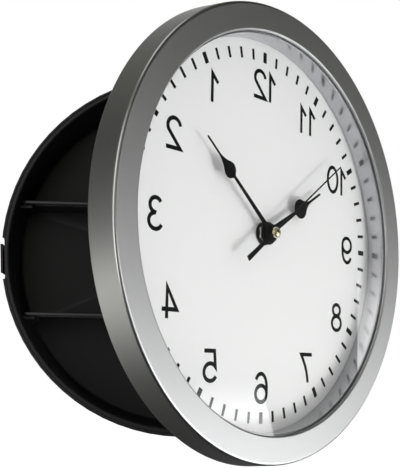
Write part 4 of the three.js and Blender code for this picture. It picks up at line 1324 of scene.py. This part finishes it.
class CLOCKSAFE_OT_stage(bpy.types.Operator):
    """Sets the floor, surroundings, studio cards, lights and camera"""

    bl_idname = "clocksafe.stage"
    bl_label = "Studio and camera"

    # the camera, as worked out from the photograph, whose middle row isn't the one it looks straight at
    eye = (-0.0200, -0.6311, -0.0744)
    aim = (0.0506, 0.9920, 0.1156)
    sideways = (0.9984, -0.0533, 0.0200)
    photo_rows = 468
    aimed_row = 262

    def execute(self, context):
        settings = context.scene.clocksafe_stage
        context.scene.camera = self.camera(settings)
        context.scene.world = self.world(settings)
        context.scene.view_settings.view_transform = "Standard"
        self.floor(settings)
        bottom = -settings.floor_drop + 0.02
        self.lit_cards(bottom)
        self.dark_cards(bottom)
        self.pale_cards(bottom)
        self.lamps(settings)
        return {"FINISHED"}

    def camera(self, settings):
        """The photograph's camera."""
        data = bpy.data.cameras.new("Camera")
        camera = placed("Camera", data)
        forward = Vector(self.aim).normalized()
        up = Vector(self.sideways).cross(forward).normalized()
        right = forward.cross(up).normalized()
        turn = Matrix((right, up, -forward)).transposed()
        camera.matrix_world = Matrix.Translation(self.eye) @ turn.to_4x4()
        data.sensor_width = 36
        data.lens = settings.focal_length
        data.shift_y = (self.aimed_row - self.photo_rows / 2) / self.photo_rows
        data.clip_start = 0.01
        data.clip_end = 50
        return camera

    @staticmethod
    def world(settings):
        """White surroundings that light the clock less than they show."""
        world = bpy.data.worlds.new("Studio")
        w = emptied(world)
        level = w.ranged(w.directly_seen(), low=settings.sky)
        back = w.add("ShaderNodeBackground", {"Color": (1, 1, 1, 1), "Strength": level})
        w.add("ShaderNodeOutputWorld", {"Surface": back.outputs[0]})
        return world

    @staticmethod
    def floor(settings):
        """Pale matt floor, a little brighter where it is seen than where it lights."""
        reach = 12.0
        mesh = bpy.data.meshes.new("Floor")
        mesh.from_pydata(lying(-settings.floor_drop, -reach, reach, -reach, reach), [], [(0, 1, 2, 3)])
        floor = placed("Floor", mesh)
        material, w, shader = new_material("PaleFloor", {
            "Base Color": (0.82, 0.82, 0.82, 1), "Roughness": 0.9, "Specular IOR Level": 0.1,
            "Emission Color": (1, 1, 1, 1)})
        w.put(shader, "Emission Strength", w.math("MULTIPLY", w.directly_seen(), 0.45))
        mesh.materials.append(material)

    @staticmethod
    def lit_cards(bottom):
        """Softboxes on the right: they light the clock and brighten the foot of the ring."""
        wall = 1.05
        card("SoftboxRight", across_x(wall, -0.68, 0.13, bottom, -0.20), (3.4, 3.4), lights=True)
        card("WingFront", across_x(wall, -1.2, -0.38, -0.20, 0.25), (3.1, 0.03), (-0.2, 0.17), lights=True)
        card("WingBack", across_x(wall, 0.28, 0.9, -0.20, 0.15), (0.45, 0.1), (-0.2, 0.15), lights=True)
        card("SoftboxTop", [(wall, -0.165, -0.20), (wall, -0.006, -0.20), (wall, -0.040, -0.07),
                            (wall, -0.130, -0.07)], (3.2, 0.12), (-0.18, -0.085), lights=True)
        # the glare on the lens over the right side of the ring, which only shows in reflections
        card("GlareRight", across_x(wall - 0.01, 0.125, 0.27, -0.19, 0.20), (2.3, 0.12), (-0.01, 0.12))

    @staticmethod
    def dark_cards(bottom):
        """Dark surroundings that only show in reflections, a little yellow or plain."""
        left, right, front, back, top = -1.5, 1.10, -1.8, 1.2, 1.4
        knee = -0.40
        warm, faint = (1.0, 1.0, 0.82), (1.0, 1.0, 0.93)
        card("DarkRight", across_x(right, -1.7, 1.7, bottom, top), (0.10, 0.03), (-0.2, 0.4), tint=warm)
        card("DarkFront", across_y(front, left - 0.1, right, bottom, top), (0.03, 0.40), (-0.15, 0.35),
             tint=warm)
        card("DarkTop", lying(top, left - 0.1, right, front, back), (0.08, 0.08), tint=warm)
        card("DarkLeftHigh", across_x(left, front, back, knee, top), (0.03, 0.0), (0.0, 0.9), tint=faint)
        card("SlopeLeft", [(left, front, knee), (left + 1, front, bottom), (left + 1, back, bottom),
                           (left, back, knee)], (0.0, 1.3), (bottom, -0.46), tint=faint)
        card("DarkBack", across_y(back + 0.02, left, right, bottom, 0.3), (0.01, 0.5), (-0.05, 0.5))
        card("CornerBack", across_x(right - 0.02, 0.36, back, bottom, 0.3), (0.3, 0.3))
        card("DarkUnder", lying(bottom, left, 0.75, front, back), (0.02, 0.02))

    @staticmethod
    def pale_cards(bottom):
        """Pale surroundings that only show in reflections, for the bright edges of the bead and shelves."""
        top = 1.38
        card("PaleFront", across_y(-1.78, -0.95, -0.2, bottom, top), (0.02, 1.7), (-0.2, 0.2))
        card("PaleTop", lying(top, -0.4, 0.1, -1.0, 0.2), (1.1, 1.1))

    @staticmethod
    def lamps(settings):
        """A soft lamp at the front left and a small one on the right."""
        area_lamp("FillSoft", (-0.7, -1.2, -0.25), (-0.06, -0.02, 0.0), 0.7, 0.5, settings.fill_power)
        # small lamp beside the softbox for the hands' shadows, kept out of reflections
        key = area_lamp("KeySmall", (0.86, -0.44, -0.52), (0.04, -0.13, 0.0), 0.2, 0.2, settings.key_power)
        key.visible_glossy = False


# Add-on

class CLOCKSAFE_PT_panel(bpy.types.Panel):
    """Buttons and settings for the clock safe"""

    bl_label = "Clock safe"
    bl_idname = "CLOCKSAFE_PT_panel"
    bl_space_type = "VIEW_3D"
    bl_region_type = "UI"
    bl_category = "Clock safe"

    def draw(self, context):
        for place in SETTINGS:
            group = getattr(context.scene, place)
            box = self.layout.box()
            for name in group.__annotations__:
                box.prop(group, name)
        for operator in OPERATORS:
            self.layout.operator(operator.bl_idname)


SETTINGS = {
    "clocksafe_dial": ClockDialSettings,
    "clocksafe_door": ClockDoorSettings,
    "clocksafe_shelves": ClockShelfSettings,
    "clocksafe_finish": ClockFinishSettings,
    "clocksafe_stage": ClockStageSettings,
}
OPERATORS = (
    CLOCKSAFE_OT_materials,
    CLOCKSAFE_OT_bezel,
    CLOCKSAFE_OT_shelves,
    CLOCKSAFE_OT_dial,
    CLOCKSAFE_OT_hands,
    CLOCKSAFE_OT_fixings,
    CLOCKSAFE_OT_stage,
)
CLASSES = (*SETTINGS.values(), *OPERATORS, CLOCKSAFE_PT_panel)


def register():
    for cls in CLASSES:
        bpy.utils.register_class(cls)
    for place, group in SETTINGS.items():
        setattr(bpy.types.Scene, place, bpy.props.PointerProperty(type=group))


def unregister():
    for place in SETTINGS:
        delattr(bpy.types.Scene, place)
    for cls in reversed(CLASSES):
        bpy.utils.unregister_class(cls)


def main():
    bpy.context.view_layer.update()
    register()
    bpy.ops.clocksafe.materials()
    bpy.ops.clocksafe.bezel()
    bpy.ops.clocksafe.shelves()
    bpy.ops.clocksafe.dial()
    bpy.ops.clocksafe.hands()
    bpy.ops.clocksafe.fixings()
    bpy.ops.clocksafe.stage()


if __name__ == "__main__":
    main()
